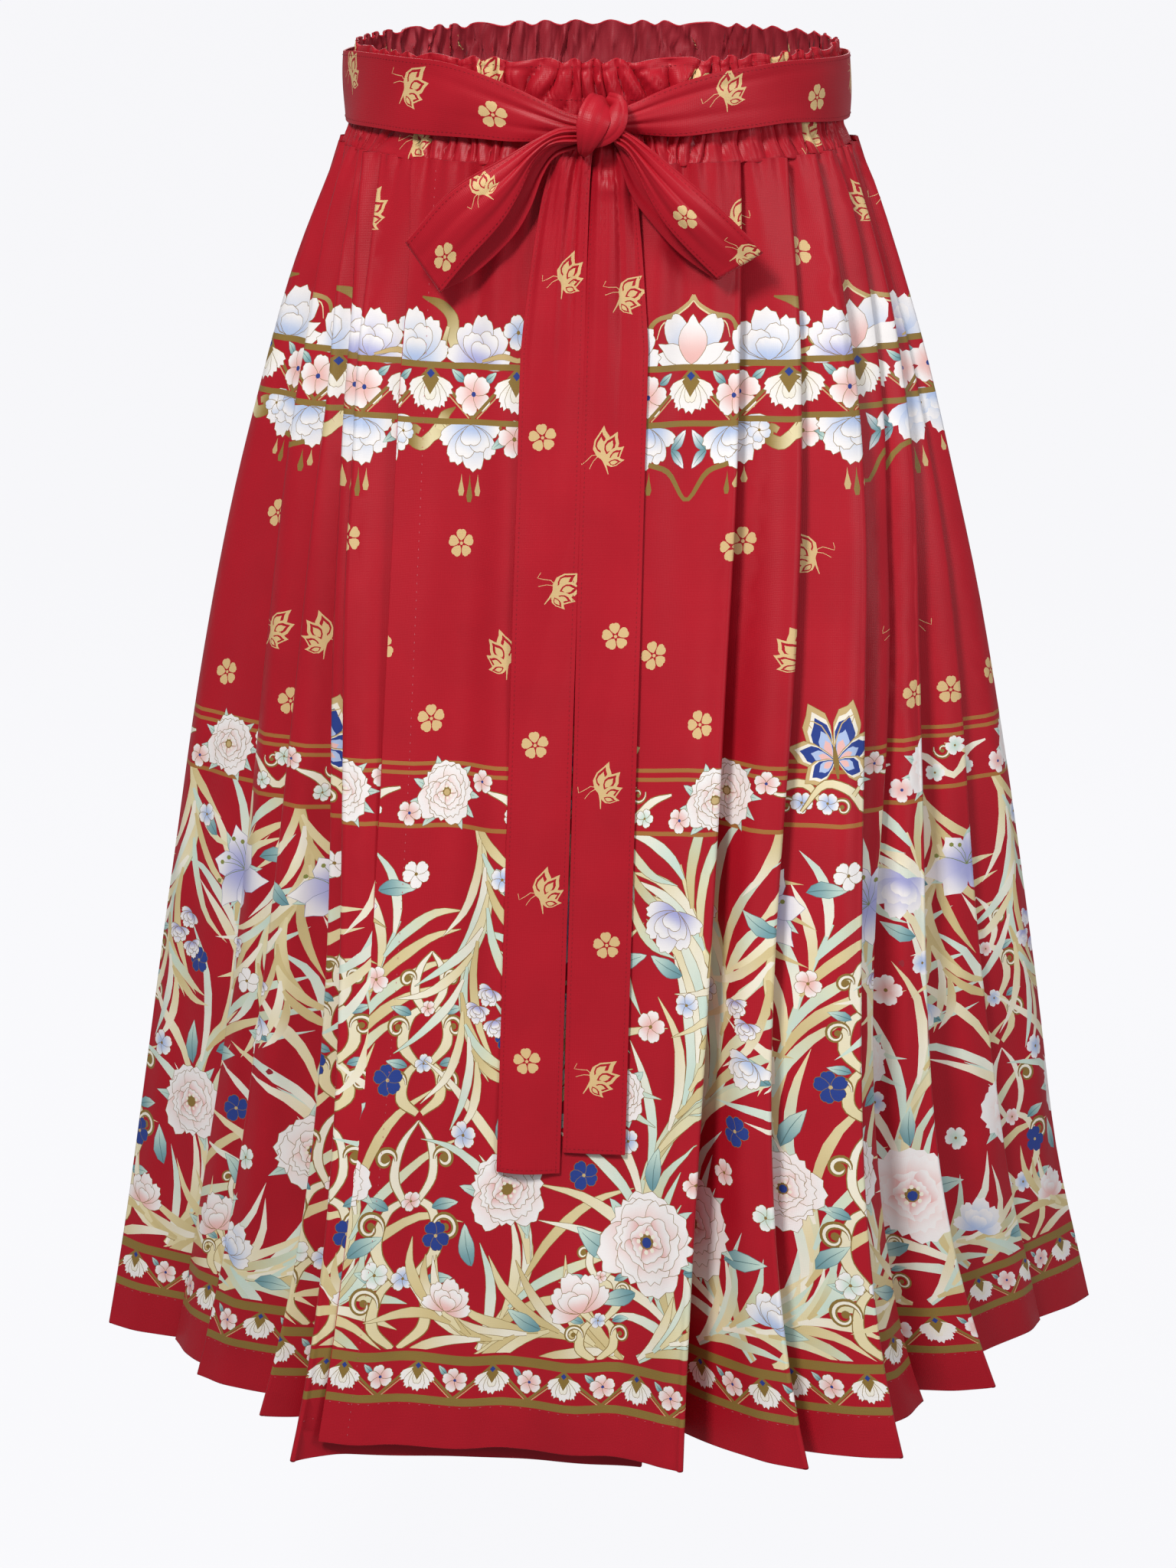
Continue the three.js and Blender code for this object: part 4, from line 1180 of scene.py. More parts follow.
def topmost(places, shapes):
    """The number of the last outline that holds each place, or -1."""
    owner = np.full(len(places), -1)
    order = np.argsort(places[:, 1])
    heights = places[order, 1]
    for k, (outline, _, low, high) in enumerate(shapes):
        pick = order[np.searchsorted(heights, low[1]) : np.searchsorted(heights, high[1])]
        x = places[pick, 0]
        pick = pick[(x > low[0]) & (x < high[0])]
        if not len(pick):
            continue
        a, b = outline, np.roll(outline, -1, 0)
        x, y = places[pick, 0][:, None], places[pick, 1][:, None]
        rises = (a[:, 1] <= y) & (b[:, 1] > y)
        falls = (a[:, 1] > y) & (b[:, 1] <= y)
        left_of = (b[:, 0] - a[:, 0]) * (y - a[:, 1]) - (x - a[:, 0]) * (b[:, 1] - a[:, 1])
        winding = np.sum(rises & (left_of > 0), axis=1) - np.sum(falls & (left_of < 0), axis=1)
        owner[pick[winding != 0]] = k
    return owner


class Net:
    """Places on a cloth and the lines between them that its triangles keep."""

    def __init__(self):
        self.places, self.edges = [], []
        self.count = 0

    def line(self, line, loop=False):
        ids = np.arange(self.count, self.count + len(line))
        self.edges.append(np.stack([ids[:-1], ids[1:]], 1))
        if loop:
            self.edges.append([[ids[-1], ids[0]]])
        self.loose(line)

    def loose(self, line):
        self.places.append(np.asarray(line, float))
        self.count += len(line)

    def triangles(self):
        flat = [Vector(p) for p in np.concatenate(self.places)]
        result = delaunay_2d_cdt(flat, np.concatenate(self.edges).tolist(), [], 0, 1e-5)
        return np.array([v[:] for v in result[0]]), np.array(result[2])


def shapes_seen(drawing, shift, top, bottom, seen_from, seen_to):
    """The shapes of a drawing that touch what shows, each with its paint and its box."""
    shapes = []
    for shape, paint in drawing.shapes:
        shape = shape + [shift, 0]
        low, high = shape.min(0), shape.max(0)
        if high[1] < bottom or low[1] > top:
            continue
        zs = np.clip([low[1], (low[1] + high[1]) / 2, high[1]], bottom, top)
        if high[0] >= seen_from(zs).min() and low[0] <= seen_to(zs).max():
            shapes.append((shape, paint, low, high))
    return shapes


# Lines and loose points keep this far inside a cloth's ends. Where even isn't set, the grid is finer
# at the top: it starts at FINE_START of its size and reaches all of it by about 60 mm further down
LINE_INSET = 0.6
POINT_INSET = 0.8
FINE_START = 0.34
FINE_REACH = 90


def cloth_outline(lefts, rights, zs, across):
    """The outline of a cloth: down its left end, along the bottom, up its right end, along the top."""
    outline = [(u, z) for u, z in zip(lefts, zs)]
    outline += [(lefts[-1] + (rights[-1] - lefts[-1]) * k / across, zs[-1]) for k in range(1, across)]
    outline += [(u, z) for u, z in zip(rights[::-1], zs[::-1])]
    outline += [(rights[0] + (lefts[0] - rights[0]) * k / across, zs[0]) for k in range(1, across)]
    return outline


def print_colours(corners, shapes, shift):
    """The colour at each corner of each triangle, from the topmost shape that holds its middle."""
    colours = np.tile(rgb(RED), (len(corners), 3, 1))
    top_shape = topmost(corners.mean(1), shapes)
    order = np.argsort(top_shape, kind="stable")
    for group in np.split(order, np.flatnonzero(np.diff(top_shape[order])) + 1):
        k = top_shape[group[0]]
        if k >= 0:
            at = corners[group].reshape(-1, 2) - [shift, 0]
            colours[group] = shapes[k][1].at(at).reshape(-1, 3, 3)
    return colours


def printed(piece, place, left, right, top, bottom, drawing, columns, grid, edge_rows=90, visible=None,
            shift=0.0, even=False):
    """The outer side of a cloth with its print. left and right give the cloth's ends along u at a
    height, columns are places along u that get a line of points, and visible gives the ends of what
    isn't covered by another layer."""
    z_edge = np.linspace(top, bottom, edge_rows)
    lefts, rights = left(z_edge), right(z_edge)
    across = max(3, int((rights[-1] - lefts[-1]) / grid[0]))
    net = Net()
    net.line(cloth_outline(lefts, rights, z_edge, across), True)
    shapes = shapes_seen(drawing, shift, top, bottom, *(visible or (left, right)))
    for shape, *_ in shapes:
        net.line(shape, True)
    # lines of points where the cloth turns sharply
    z_line = np.linspace(top - 0.4, bottom + 0.4, max(6, int((top - bottom) / (grid[1] * 1.5))))
    for u in columns:
        line = np.stack([np.full(len(z_line), u), z_line], 1)
        line = line[inside(line, lambda z: left(z) + LINE_INSET, lambda z: right(z) - LINE_INSET)]
        if len(line) > 1:
            net.line(line)
    # loose points between
    u0, u1 = lefts.min(), rights.max()
    z = top
    row = 0
    while z > bottom:
        fine = 1.0 if even else min(1.0, FINE_START + (top - z) / FINE_REACH)
        us = np.arange(u0 + (row % 2) * grid[0] * fine / 2, u1, grid[0] * fine)
        line = np.stack([us, np.full(len(us), z)], 1)
        net.loose(line[inside(line, lambda z: left(z) + POINT_INSET, lambda z: right(z) - POINT_INSET)])
        z -= grid[1] * fine
        row += 1
    found, faces = net.triangles()
    middle = found[faces].mean(1)
    faces = faces[inside(middle, left, right) & (middle[:, 1] < top) & (middle[:, 1] > bottom)]
    corners = found[faces]
    one, two = corners[:, 1] - corners[:, 0], corners[:, 2] - corners[:, 0]
    backward = one[:, 0] * two[:, 1] - two[:, 0] * one[:, 1] < 0
    faces[backward] = faces[backward][:, ::-1]
    colours = print_colours(found[faces], shapes, shift)
    used, compact = np.unique(faces, return_inverse=True)
    found = found[used]
    at, normal = surface_at(place, found[:, 0], found[:, 1])
    piece.add(at + normal * OUTER, normal, compact.reshape(-1, 3), colours, 0, found)


def grid_faces(rows, cols):
    """Two triangles for each cell of a grid of points."""
    index = np.arange(rows * cols).reshape(rows, cols)
    a, b = index[:-1, :-1].ravel(), index[:-1, 1:].ravel()
    c, d = index[1:, 1:].ravel(), index[1:, :-1].ravel()
    return np.concatenate([np.stack([a, d, c], 1), np.stack([a, c, b], 1)])


def facing_out(places, normals, faces):
    """The triangles, with those turned round that look against their normals."""
    tri = places[faces]
    looks = np.cross(tri[:, 1] - tri[:, 0], tri[:, 2] - tri[:, 0])
    wrong = np.sum(looks * normals[faces[:, 0]], axis=1) < 0
    faces[wrong] = faces[wrong][:, ::-1]
    return faces


def reverse_side(piece, place, us, zs, lift, colour=REVERSE):
    """The plain reverse of a cloth. us is one list, or a list for each row."""
    us = np.asarray(us, float)
    if us.ndim == 1:
        us = np.tile(us, (len(zs), 1))
    z = np.repeat(np.asarray(zs, float), us.shape[1])
    at, normal = surface_at(place, us.ravel(), z)
    faces = grid_faces(*us.shape)[:, ::-1]
    piece.add(at - normal * lift, -normal, faces, rgb(colour), 0, np.stack([us.ravel(), z], 1))


# A rolled edge stands out by this share of half the cloth's thickness
RIM_ROUND = 0.8


def rim(piece, place, us, zs, away, inner=INNER, steps=4):
    """The rolled edge that closes a cloth along a line of places. away is the direction in (u, z)
    that leads off the cloth."""
    us, zs = np.asarray(us, float), np.asarray(zs, float)
    at, normal = surface_at(place, us, zs)
    off = unit(place(us + away[0], zs + away[1]) - place(us - away[0], zs - away[1]))
    half = (OUTER + inner) / 2
    mid = at + normal * (OUTER - inner) / 2
    places, normals = [], []
    for k in range(steps + 1):
        a = math.pi * (k / steps)
        places.append(mid + normal * half * math.cos(a) + off * half * RIM_ROUND * math.sin(a))
        normals.append(normal * math.cos(a) + off * math.sin(a))
    places, normals = np.concatenate(places), np.concatenate(normals)
    piece.add(places, normals, facing_out(places, normals, grid_faces(steps + 1, len(us))), rgb(RED))


# Stitches: length and width of a thread, its colour and how far its foot lies from the cloth's middle
HEM_THREAD = (1.5, 0.5, THREAD, OUTER)
SIDE_THREAD = (1.3, 0.5, THREAD, OUTER)
EDGE_THREAD = (1.7, 0.4, SEAM_THREAD, OUTER)
RIBBON_THREAD = (1.7, 0.4, SEAM_THREAD, OUTER + 0.02)
CHANNEL_THREAD = (1.7, 0.4, SEAM_THREAD, OUTER + 0.05)
THREAD_SLOT = 1
THREAD_HEIGHT = 0.42
THREAD_SIDE = 0.05


def stitches(piece, place, us, zs, along_u, thread):
    """Small raised threads lying on the cloth, at each place given."""
    length, width, colour, lift = thread
    us, zs = np.asarray(us, float), np.asarray(zs, float)
    step = (length / 2, 0) if along_u else (0, length / 2)
    side = (0, width / 2) if along_u else (width / 2, 0)
    places, normals = [], []
    for du, dz, up in ((-step[0], -step[1], 0.0), (*side, THREAD_SIDE), (*step, 0.0),
                       (-side[0], -side[1], THREAD_SIDE), (0, 0, THREAD_HEIGHT)):
        at, normal = surface_at(place, us + du, zs + dz)
        places.append(at + normal * (lift + up))
        normals.append(normal)
    places, normals = np.concatenate(places), np.concatenate(normals)
    n = len(us)
    base = np.arange(n)
    faces = [np.stack([base + k * n, base + ((k + 1) % 4) * n, base + 4 * n], 1) for k in range(4)]
    faces = facing_out(places, normals, np.concatenate(faces))
    piece.add(places, normals, faces, rgb(colour), THREAD_SLOT)


def motifs(places, blossom_size, butterfly_size, side=1):
    """A drawing of loose motifs: place along the cloth, height, turn, kind (1 a blossom)."""
    drawing = Drawing()
    for u, z, turn, kind in places:
        item = small_blossom(blossom_size) if kind else small_butterfly(butterfly_size)
        drawing.add(item, (u * side, z), turn)
    return drawing


# How far the print is moved along each cloth
DOOR_SHIFT = -30.0
UNDER_SHIFT = 140
BOX_SHIFT = -100
RIGHT_SHIFTS = (-60, -140, -230, -20, -90, -190, -40, -130, -220, -60)
LEFT_SHIFTS = (-120, -40, -200, -90, -160, -230, -50, -130)
# Soft ridges (+) and troughs (-): place along the cloth, height, lean, width, tallness, depth
DOOR_CREASES = (
    (-192, -470, 0.004, 9, 300, 1.7), (-166, -620, 0.02, 12, 190, -2.4), (-136, -500, -0.01, 13, 300, 2.6),
    (-110, -600, 0.01, 10, 200, -1.7), (-70, -700, 0.0, 14, 70, 2.6), (-46, -640, 0.0, 12, 120, -2.0),
    (-10, -480, 0.01, 7, 280, 1.5), (-176, -105, 0.1, 5, 60, 1.4), (-144, -95, -0.06, 6, 70, -1.5),
    (-122, -120, 0.04, 5, 80, 1.3),
)
RIGHT_CREASES = (
    ((-13, -430, 0.03, 9, 270, 2.6), (-24, -230, 0.05, 5, 90, -1.2)),
    ((-11, -380, 0.026, 8, 240, 2.2), (-8, -130, 0.04, 4, 60, 1.2)),
    ((-12, -470, 0.028, 8, 260, 2.4), (-30, -620, 0.02, 6, 100, -1.6)),
    ((-11, -360, 0.03, 7, 250, 2.4), (-20, -600, 0.03, 7, 110, 1.4)),
    ((-12, -450, 0.026, 8, 260, 2.2), (-9, -160, 0.03, 4, 70, -1.0)),
    ((-14, -420, 0.02, 9, 260, 2.0),),
    ((14, -430, -0.02, 9, 260, 2.0),),
    ((15, -400, -0.024, 9, 250, 2.4), (9, -180, -0.03, 5, 80, -1.2)),
    ((14, -460, -0.026, 9, 270, 2.2),),
    ((16, -380, -0.028, 10, 260, 2.6), (30, -620, -0.02, 7, 110, -1.6)),
)
LEFT_CREASES = (
    ((-16, -400, 0.028, 10, 260, 2.4), (-30, -610, 0.02, 7, 110, -1.5)),
    ((-14, -460, 0.026, 9, 270, 2.2),),
    ((-14, -380, 0.024, 9, 250, 2.4), (-9, -170, 0.03, 5, 80, -1.2)),
    ((-13, -430, 0.02, 9, 260, 2.0),),
    ((12, -440, -0.022, 8, 260, 2.2), (9, -150, -0.03, 4, 70, 1.1)),
    ((11, -380, -0.028, 8, 250, 2.4), (24, -610, -0.03, 7, 110, -1.5)),
    ((12, -450, -0.026, 8, 260, 2.4), (8, -140, -0.04, 4, 60, -1.1)),
    ((11, -400, -0.026, 7, 250, 2.2), (20, -600, -0.03, 6, 100, 1.4)),
)
UNDER_CREASES = ((12, -430, -0.02, 8, 250, 2.0), (30, -600, -0.02, 8, 120, -1.4))
BAND_MOTIFS = (
    (-20, 9, 10, 0), (62, 8, 0, 1), (120, 10, 20, 0), (190, 6, 0, 1), (260, 9, -10, 0), (330, 10, 0, 1),
    (400, 8, 30, 0), (480, 9, 0, 1), (560, 8, 0, 0), (640, 9, 10, 1), (712, 9, -12, 0), (800, 8, 0, 1),
    (870, 9, 20, 0), (150, -28, 40, 0), (300, -29, 0, 1), (500, -28, 0, 0), (820, -28, 12, 0),
    (700, -29, 0, 1),
)
SASH_MOTIFS = (
    (64, 1, 20, 0), (128, -4, 0, 1), (180, 4, -30, 0), (250, 0, 0, 1), (330, 2, 30, 0), (410, -3, 0, 1),
    (490, 3, -15, 0), (570, 0, 0, 1), (633, 4, 15, 0), (690, 2, -20, 0), (744, -3, 0, 1),
)
LOOP_MOTIFS = {
    "bow_loop_left": ((62, 4, 30, 0), (100, -6, 0, 1)),
    "bow_loop_right": ((58, -3, -20, 1), (92, 4, 15, 0)),
}
TAIL_MOTIFS = {
    "sash_tail_left": (
        (3, -96, 10, 0), (-4, -178, 0, 1), (4, -262, -25, 0), (-3, -345, 0, 1), (3, -430, 20, 0),
        (-2, -520, 0, 1),
    ),
    "sash_tail_right": (
        (2, -104, -20, 0), (-5, -190, 30, 0), (4, -285, 0, 1), (-2, -372, 15, 0), (4, -455, 0, 1),
        (-3, -532, -20, 0),
    ),
}


def strips_of(turns, hem_z=HEM_Z, face_width=None):
    """Cuts a panel's path at its hidden folds. Gives (strip, whether it holds a fold's edge)."""
    columns, marks = columns_of(turns)
    total = np.concatenate(
        [np.zeros((ROWS, 1)), np.cumsum(np.linalg.norm(np.diff(columns, axis=1), axis=2), axis=1)], axis=1
    )
    last = columns.shape[1] - 1
    inner = [marks[i] for i, (_, kind) in enumerate(turns) if kind == "inner"]
    edges = [marks[i] for i, (_, kind) in enumerate(turns) if kind == "edge"]
    cuts = sorted({0, last, *inner})
    found = []
    for a, b in zip(cuts, cuts[1:]):
        middle = [m for m in edges if a <= m <= b]
        m = middle[0] if middle else a
        u = total[:, a : b + 1] - total[:, m : m + 1]
        if face_width and len(middle) == 2:
            wide = u[:, middle[1] - a][:, None]
            u = np.where(u < 0, u, np.where(u < wide, u / wide * face_width, u - wide + face_width))
        elif face_width:
            wide = -u[:, :1]
            u = np.where(u < 0, u / wide * face_width, u)
        found.append((Strip(columns[:, a : b + 1], u, hem_z), bool(middle)))
    return found


# How much of the print is made past a pleat's edge, and left out where the next pleat covers it
SEEN_PAST_EDGE = 5.0
HIDDEN_BEHIND = 11.0
# Lines of points beside a fold's edge
FOLD_LINES = (-3.2, -1.9, -0.95, 0, 0.95, 1.9, 3.2)
REVERSE_ROWS = list(range(0, ROWS, 4)) + [ROWS - 1]
REVERSE_STEP = 4.4


def fixed(value):
    """A cloth's end that is at the same place along it at every height."""
    return lambda z: 0 * z + value


def cloth_strip(piece, strip, drawing, shift, leads, grid, lines=FOLD_LINES, visible=None):
    """One strip of a panel: the printed side, the plain reverse and the rolled hem. leads is 1 for a
    pleat whose edge is at its far end, -1 at its near end, and visible gives the ends of what shows."""
    bottom = strip.z[-1]
    if leads > 0 and not visible:
        visible = (lambda z: strip.first(z) + HIDDEN_BEHIND, fixed(SEEN_PAST_EDGE))
    if leads < 0 and not visible:
        visible = (fixed(-SEEN_PAST_EDGE), lambda z: strip.last(z) - HIDDEN_BEHIND)
    printed(piece, strip.place, strip.first, strip.last, SEAM_Z, bottom, drawing, lines, grid,
            visible=visible, shift=shift)
    n = strip.u.shape[1]
    columns = sorted({*range(0, n, 2), n - 1})
    rows = strip.u[REVERSE_ROWS]
    us = []
    for a, b in zip(columns, columns[1:]):
        parts = int(np.abs(rows[:, b] - rows[:, a]).max() // REVERSE_STEP) + 1
        us += [rows[:, a] + (rows[:, b] - rows[:, a]) * k / parts for k in range(parts)]
    us = np.stack([*us, rows[:, columns[-1]]], 1)
    reverse_side(piece, strip.place, us, strip.z[REVERSE_ROWS], PANEL_INNER)
    u_hem = np.interp(np.linspace(0, 1, 3 * n), np.linspace(0, 1, n), strip.u[-1])
    rim(piece, strip.place, u_hem, np.full(len(u_hem), bottom), (0, -1), PANEL_INNER)


HEM_STITCH_Z = -724.6
HEM_STITCH_STEP = 5.8
HEM_WAVER, HEM_WAVER_RATE = 0.25, 1.7
# Where a row of stitches starts or ends: short of an edge, past one, and in the hidden fold
SHORT_OF_EDGE = 1.5
PAST_EDGE = 2.5
IN_FOLD = 14


def hem_stitches(piece, strip, first, last, z):
    """The row of stitches that holds the hem."""
    us = np.arange(first, last, HEM_STITCH_STEP)
    stitches(piece, strip.place, us, z + HEM_WAVER * np.sin(us * HEM_WAVER_RATE), True,
             HEM_THREAD)


FINE_GRID = (7.4, 10.5)
PLAIN_GRID = (8.8, 14)
BOX_GRID = (10.5, 17)


def pleated_side(names, turns, folds, drawings, shifts, creases, detail_of):
    """A side's pleats: the front and the back piece."""
    pieces = [Piece(name + "_cloth") for name in names]
    which = 0
    k = 0
    for strip, has_edge in strips_of(turns):
        if not has_edge:
            # the floor of the box pleat at the side, where the two cloths meet
            cloth_strip(pieces[0], strip, drawings[0], BOX_SHIFT, 0, BOX_GRID, ())
            which = 1
            continue
        leads = folds[k][0]
        strip.creases = creases[k]
        fine = detail_of[k]
        grid = FINE_GRID if fine else PLAIN_GRID
        cloth_strip(pieces[which], strip, drawings[fine], shifts[k], leads, grid)
        if leads > 0:
            first, last = strip.first(HEM_STITCH_Z) + IN_FOLD, -SHORT_OF_EDGE
        else:
            first, last = PAST_EDGE, strip.last(HEM_STITCH_Z) - IN_FOLD
        hem_stitches(pieces[which], strip, first, last, HEM_STITCH_Z)
        k += 1
    return pieces


# The panels. The cloth of a door is this wide, and its print is made as fine as its place asks
DOOR_CUT = 212.0
BACK_CUT = 236.0
DOOR_COLUMNS = 60
UNDER_COLUMNS = 36
BACK_COLUMNS = 24
BACK_CROWN = 16
SIDE_POINTS = 220
SIDE_STITCH_IN = 16.5
SIDE_STITCH_STEP = 4.6
UNDER_SEEN_TO = 45

set_detail(0.84)
print_door = whole_print(-230, 40)
set_detail(0.52)
print_fine = whole_print(-150, 330)
set_detail(0.28)
print_plain = whole_print(-150, 330)


def outer_door():
    """The panel on top at the front, with a hemmed edge on the viewer's left."""
    turns = [(line, "soft") for line in door_face(DOOR_COLUMNS)[:-1]]
    turns += [(edge_at(DOOR_EDGE), "edge"), (inner_at(DOOR_EDGE, RIGHT_FOLDS[0]), "inner")]
    strip = strips_of(turns, face_width=DOOR_CUT)[0][0]
    strip.creases = DOOR_CREASES
    piece = Piece("outer_door_cloth")
    visible = (fixed(-DOOR_CUT - SEEN_PAST_EDGE), fixed(SEEN_PAST_EDGE))
    cloth_strip(piece, strip, print_door, DOOR_SHIFT, 1, (6, 9), visible=visible)
    side_z = np.linspace(SEAM_Z, HEM_Z, SIDE_POINTS)
    rim(piece, strip.place, np.full(SIDE_POINTS, -DOOR_CUT), side_z, (-1, 0), PANEL_INNER)
    hem_stitches(piece, strip, -DOOR_CUT + 3, -SHORT_OF_EDGE, HEM_STITCH_Z)
    side_z = np.arange(HEM_Z + 6, SEAM_Z - 2, SIDE_STITCH_STEP)
    side_u = np.full(len(side_z), -DOOR_CUT + SIDE_STITCH_IN)
    stitches(piece, strip.place, side_u, side_z, False, SIDE_THREAD)
    return piece


def under_door():
    """The panel beneath the outer door, of which a strip shows."""
    turns = [(inner_at(UNDER_EDGE, LEFT_FOLDS[-1]), "inner"), (edge_at(UNDER_EDGE), "edge")]
    for i in range(1, UNDER_COLUMNS + 1):
        s = i / UNDER_COLUMNS
        angles = [start - 360 + (end - start + 360) * s for start, end in zip(UNDER_EDGE[1:4], UNDER_RIGHT)]
        turns.append((line_at(angles, along(UNDER_HEM, s), DOOR_LAP * min(1, s * 3)), "soft"))
    strip = strips_of(turns, HEM_Z - UNDER_DOOR_DROP)[0][0]
    strip.creases = UNDER_CREASES
    piece = Piece("under_door_cloth")
    visible = (fixed(-SEEN_PAST_EDGE), fixed(UNDER_SEEN_TO))
    cloth_strip(piece, strip, print_fine, UNDER_SHIFT, -1, (8, 12), visible=visible)
    rim(piece, strip.place, strip.last(strip.z), strip.z, (1, 0), PANEL_INNER)
    hem_stitches(piece, strip, PAST_EDGE, strip.u[-1, -1] - 2, HEM_STITCH_Z - UNDER_DOOR_DROP)
    return piece


def back_door():
    """The flat panel at the back."""
    turns = [(inner_at(BACK_DOOR_EDGES[0], RIGHT_FOLDS[-1]), "inner")]
    start, end = edge_at(BACK_DOOR_EDGES[0]), edge_at(BACK_DOOR_EDGES[1])
    for i in range(BACK_COLUMNS + 1):
        s = i / BACK_COLUMNS
        line = start + (end - start) * s
        line[:, 1] += BACK_CROWN * 4 * s * (1 - s)
        turns.append((line, "edge" if i in (0, BACK_COLUMNS) else "soft"))
    turns.append((inner_at(BACK_DOOR_EDGES[1], LEFT_FOLDS[0]), "inner"))
    strip = strips_of(turns, face_width=BACK_CUT)[0][0]
    piece = Piece("back_door_cloth")
    lines = FOLD_LINES + tuple(BACK_CUT + u for u in FOLD_LINES)
    visible = (fixed(-SEEN_PAST_EDGE), fixed(BACK_CUT + SEEN_PAST_EDGE))
    cloth_strip(piece, strip, print_plain, 0, 0, (9, 14), lines, visible)
    hem_stitches(piece, strip, 3, BACK_CUT - 2, HEM_STITCH_Z)
    return piece


def side_turns(folds, before, after):
    """A side's turning lines, from beside the hidden fold before it to beside the one after it."""
    turns = pleat_turns(folds, before, after)
    turns[0] = (beside_inner(before, folds[0]), "inner")
    turns[-1] = (beside_inner(after, folds[-1]), "inner")
    return turns


made = {"outer_door": outer_door(), "under_door": under_door(), "back_door": back_door()}
# The sides: names, turning lines, folds, shifts, creases, and which pleats have the finer print
SIDES = (
    (("pleats_right_front", "pleats_right_back"), side_turns(RIGHT_FOLDS, DOOR_EDGE, BACK_DOOR_EDGES[0]),
     RIGHT_FOLDS, RIGHT_SHIFTS, RIGHT_CREASES, (1, 1, 1, 0, 0, 0, 0, 0, 0, 0)),
    (("pleats_left_back", "pleats_left_front"), side_turns(LEFT_FOLDS, BACK_DOOR_EDGES[1], UNDER_EDGE),
     LEFT_FOLDS, LEFT_SHIFTS, LEFT_CREASES, (0, 0, 0, 0, 1, 1, 1, 1)),
)
for names, turns, folds, shifts, creases, fine in SIDES:
    parts = pleated_side(names, turns, folds, (print_plain, print_fine), shifts, creases, fine)
    made.update(zip(names, parts))


# The waistband: levels (height, half width, half depth), the elastic channels (from, to, puff), the
# heights of the stitches between them, and how far the reverse lies from the middle
BAND_CLOTH = 940.0
BAND_LEVELS = np.array([
    (-33.6, 142.2, 110.2), (-28, 138.5, 107), (-24, 136, 105), (0, 134.5, 104), (12, 134.5, 104),
    (22, 134, 103.5),
])
BAND_BOTTOM, BAND_TOP = -33.4, 21.0
BAND_GRID = (1.3, 2.9)
CHANNELS = ((17.6, 21.6, 1.2), (0.6, 17.6, 2.7), (-33.9, 0.6, 2.7))
CHANNEL_SEAMS = (17.6, 0.6)
BAND_INNER = 1.1
STITCH_STEP = 2.7
# How many gathers run round the band, the angle in which the bow presses it, and the heights from
# which its ruffle rises and its lower edge is drawn up
GATHERS = 90
PRESSED_WIDTH = 52
RUFFLE_FROM = 14
DRAWN_BELOW = -27


BAND_BACK_ROWS, BAND_BACK_FULLNESS = 9, 0.8
BAND_MOTIF_SIZES = (9, 19)  # of a blossom and of a butterfly


def band_place(u, z, fullness=1.0):
    """The gathered band: channels puffed between their seams, with a gather at each wave of phase."""
    angle = u * 2 * math.pi / BAND_CLOTH
    wide, deep = (np.interp(z, BAND_LEVELS[:, 0], BAND_LEVELS[:, c]) for c in (1, 2))
    puff = np.zeros(len(u))
    for low, high, size in CHANNELS:
        share = np.clip((z - low) / (high - low), 0, 1)
        here = (z >= low) & (z <= high)
        puff = np.maximum(puff, np.where(here, size * np.sin(math.pi * share) ** 0.55, 0))
    centre = np.exp(-((wide * np.sin(angle) / PRESSED_WIDTH) ** 2)) * (np.cos(angle) > 0)
    puff = puff * np.where(z > CHANNEL_SEAMS[1], 1 + 0.35 * centre, 1) + 0.35
    phase = GATHERS * angle + 1.5 * np.sin(7 * angle + 1) + 1.1 * np.sin(12 * angle)
    phase += 0.9 * np.sin(19 * angle + z / 8)
    phase += 0.2 * (z - 9) * np.sin(8 * angle + 0.7) + 0.13 * (z + 6) * np.sin(13 * angle)
    ridge = np.abs(np.sin(phase / 2)) ** 0.62
    second = np.abs(np.sin(phase * 1.5 + z / 6 + 3 * np.sin(9 * angle))) ** 0.8
    tuck = np.abs(np.sin(184 * angle + 2 * np.sin(11 * angle)))
    tuck = np.exp(-(((z - CHANNEL_SEAMS[1]) / 4.5) ** 2)) * tuck
    size = 1 + 0.3 * np.sin(5 * angle) * np.cos(3 * angle) + 0.24 * np.sin(23 * angle + 1 + z / 13)
    out = fullness * (puff * size * (ridge * 1.7 + second * 0.22 - 1.05) + 0.55 * tuck)
    lean = 1.3 * np.sin(phase / 2 + 0.6) * np.clip(puff / 2, 0, 1)
    rise = np.where(z > RUFFLE_FROM, 1.3 * np.sin(phase / 2 + 0.9) * (z - RUFFLE_FROM) / 7, 0)
    drawn = np.abs(np.sin(phase / 2)) * (DRAWN_BELOW - z) / 6.4
    rise = rise - np.where(z < DRAWN_BELOW, drawn, 0)
    x = (wide + out) * np.sin(angle) + lean * np.cos(angle)
    y = -(deep + out) * np.cos(angle) + lean * np.sin(angle)
    return np.stack([x, y, z + rise], 1)


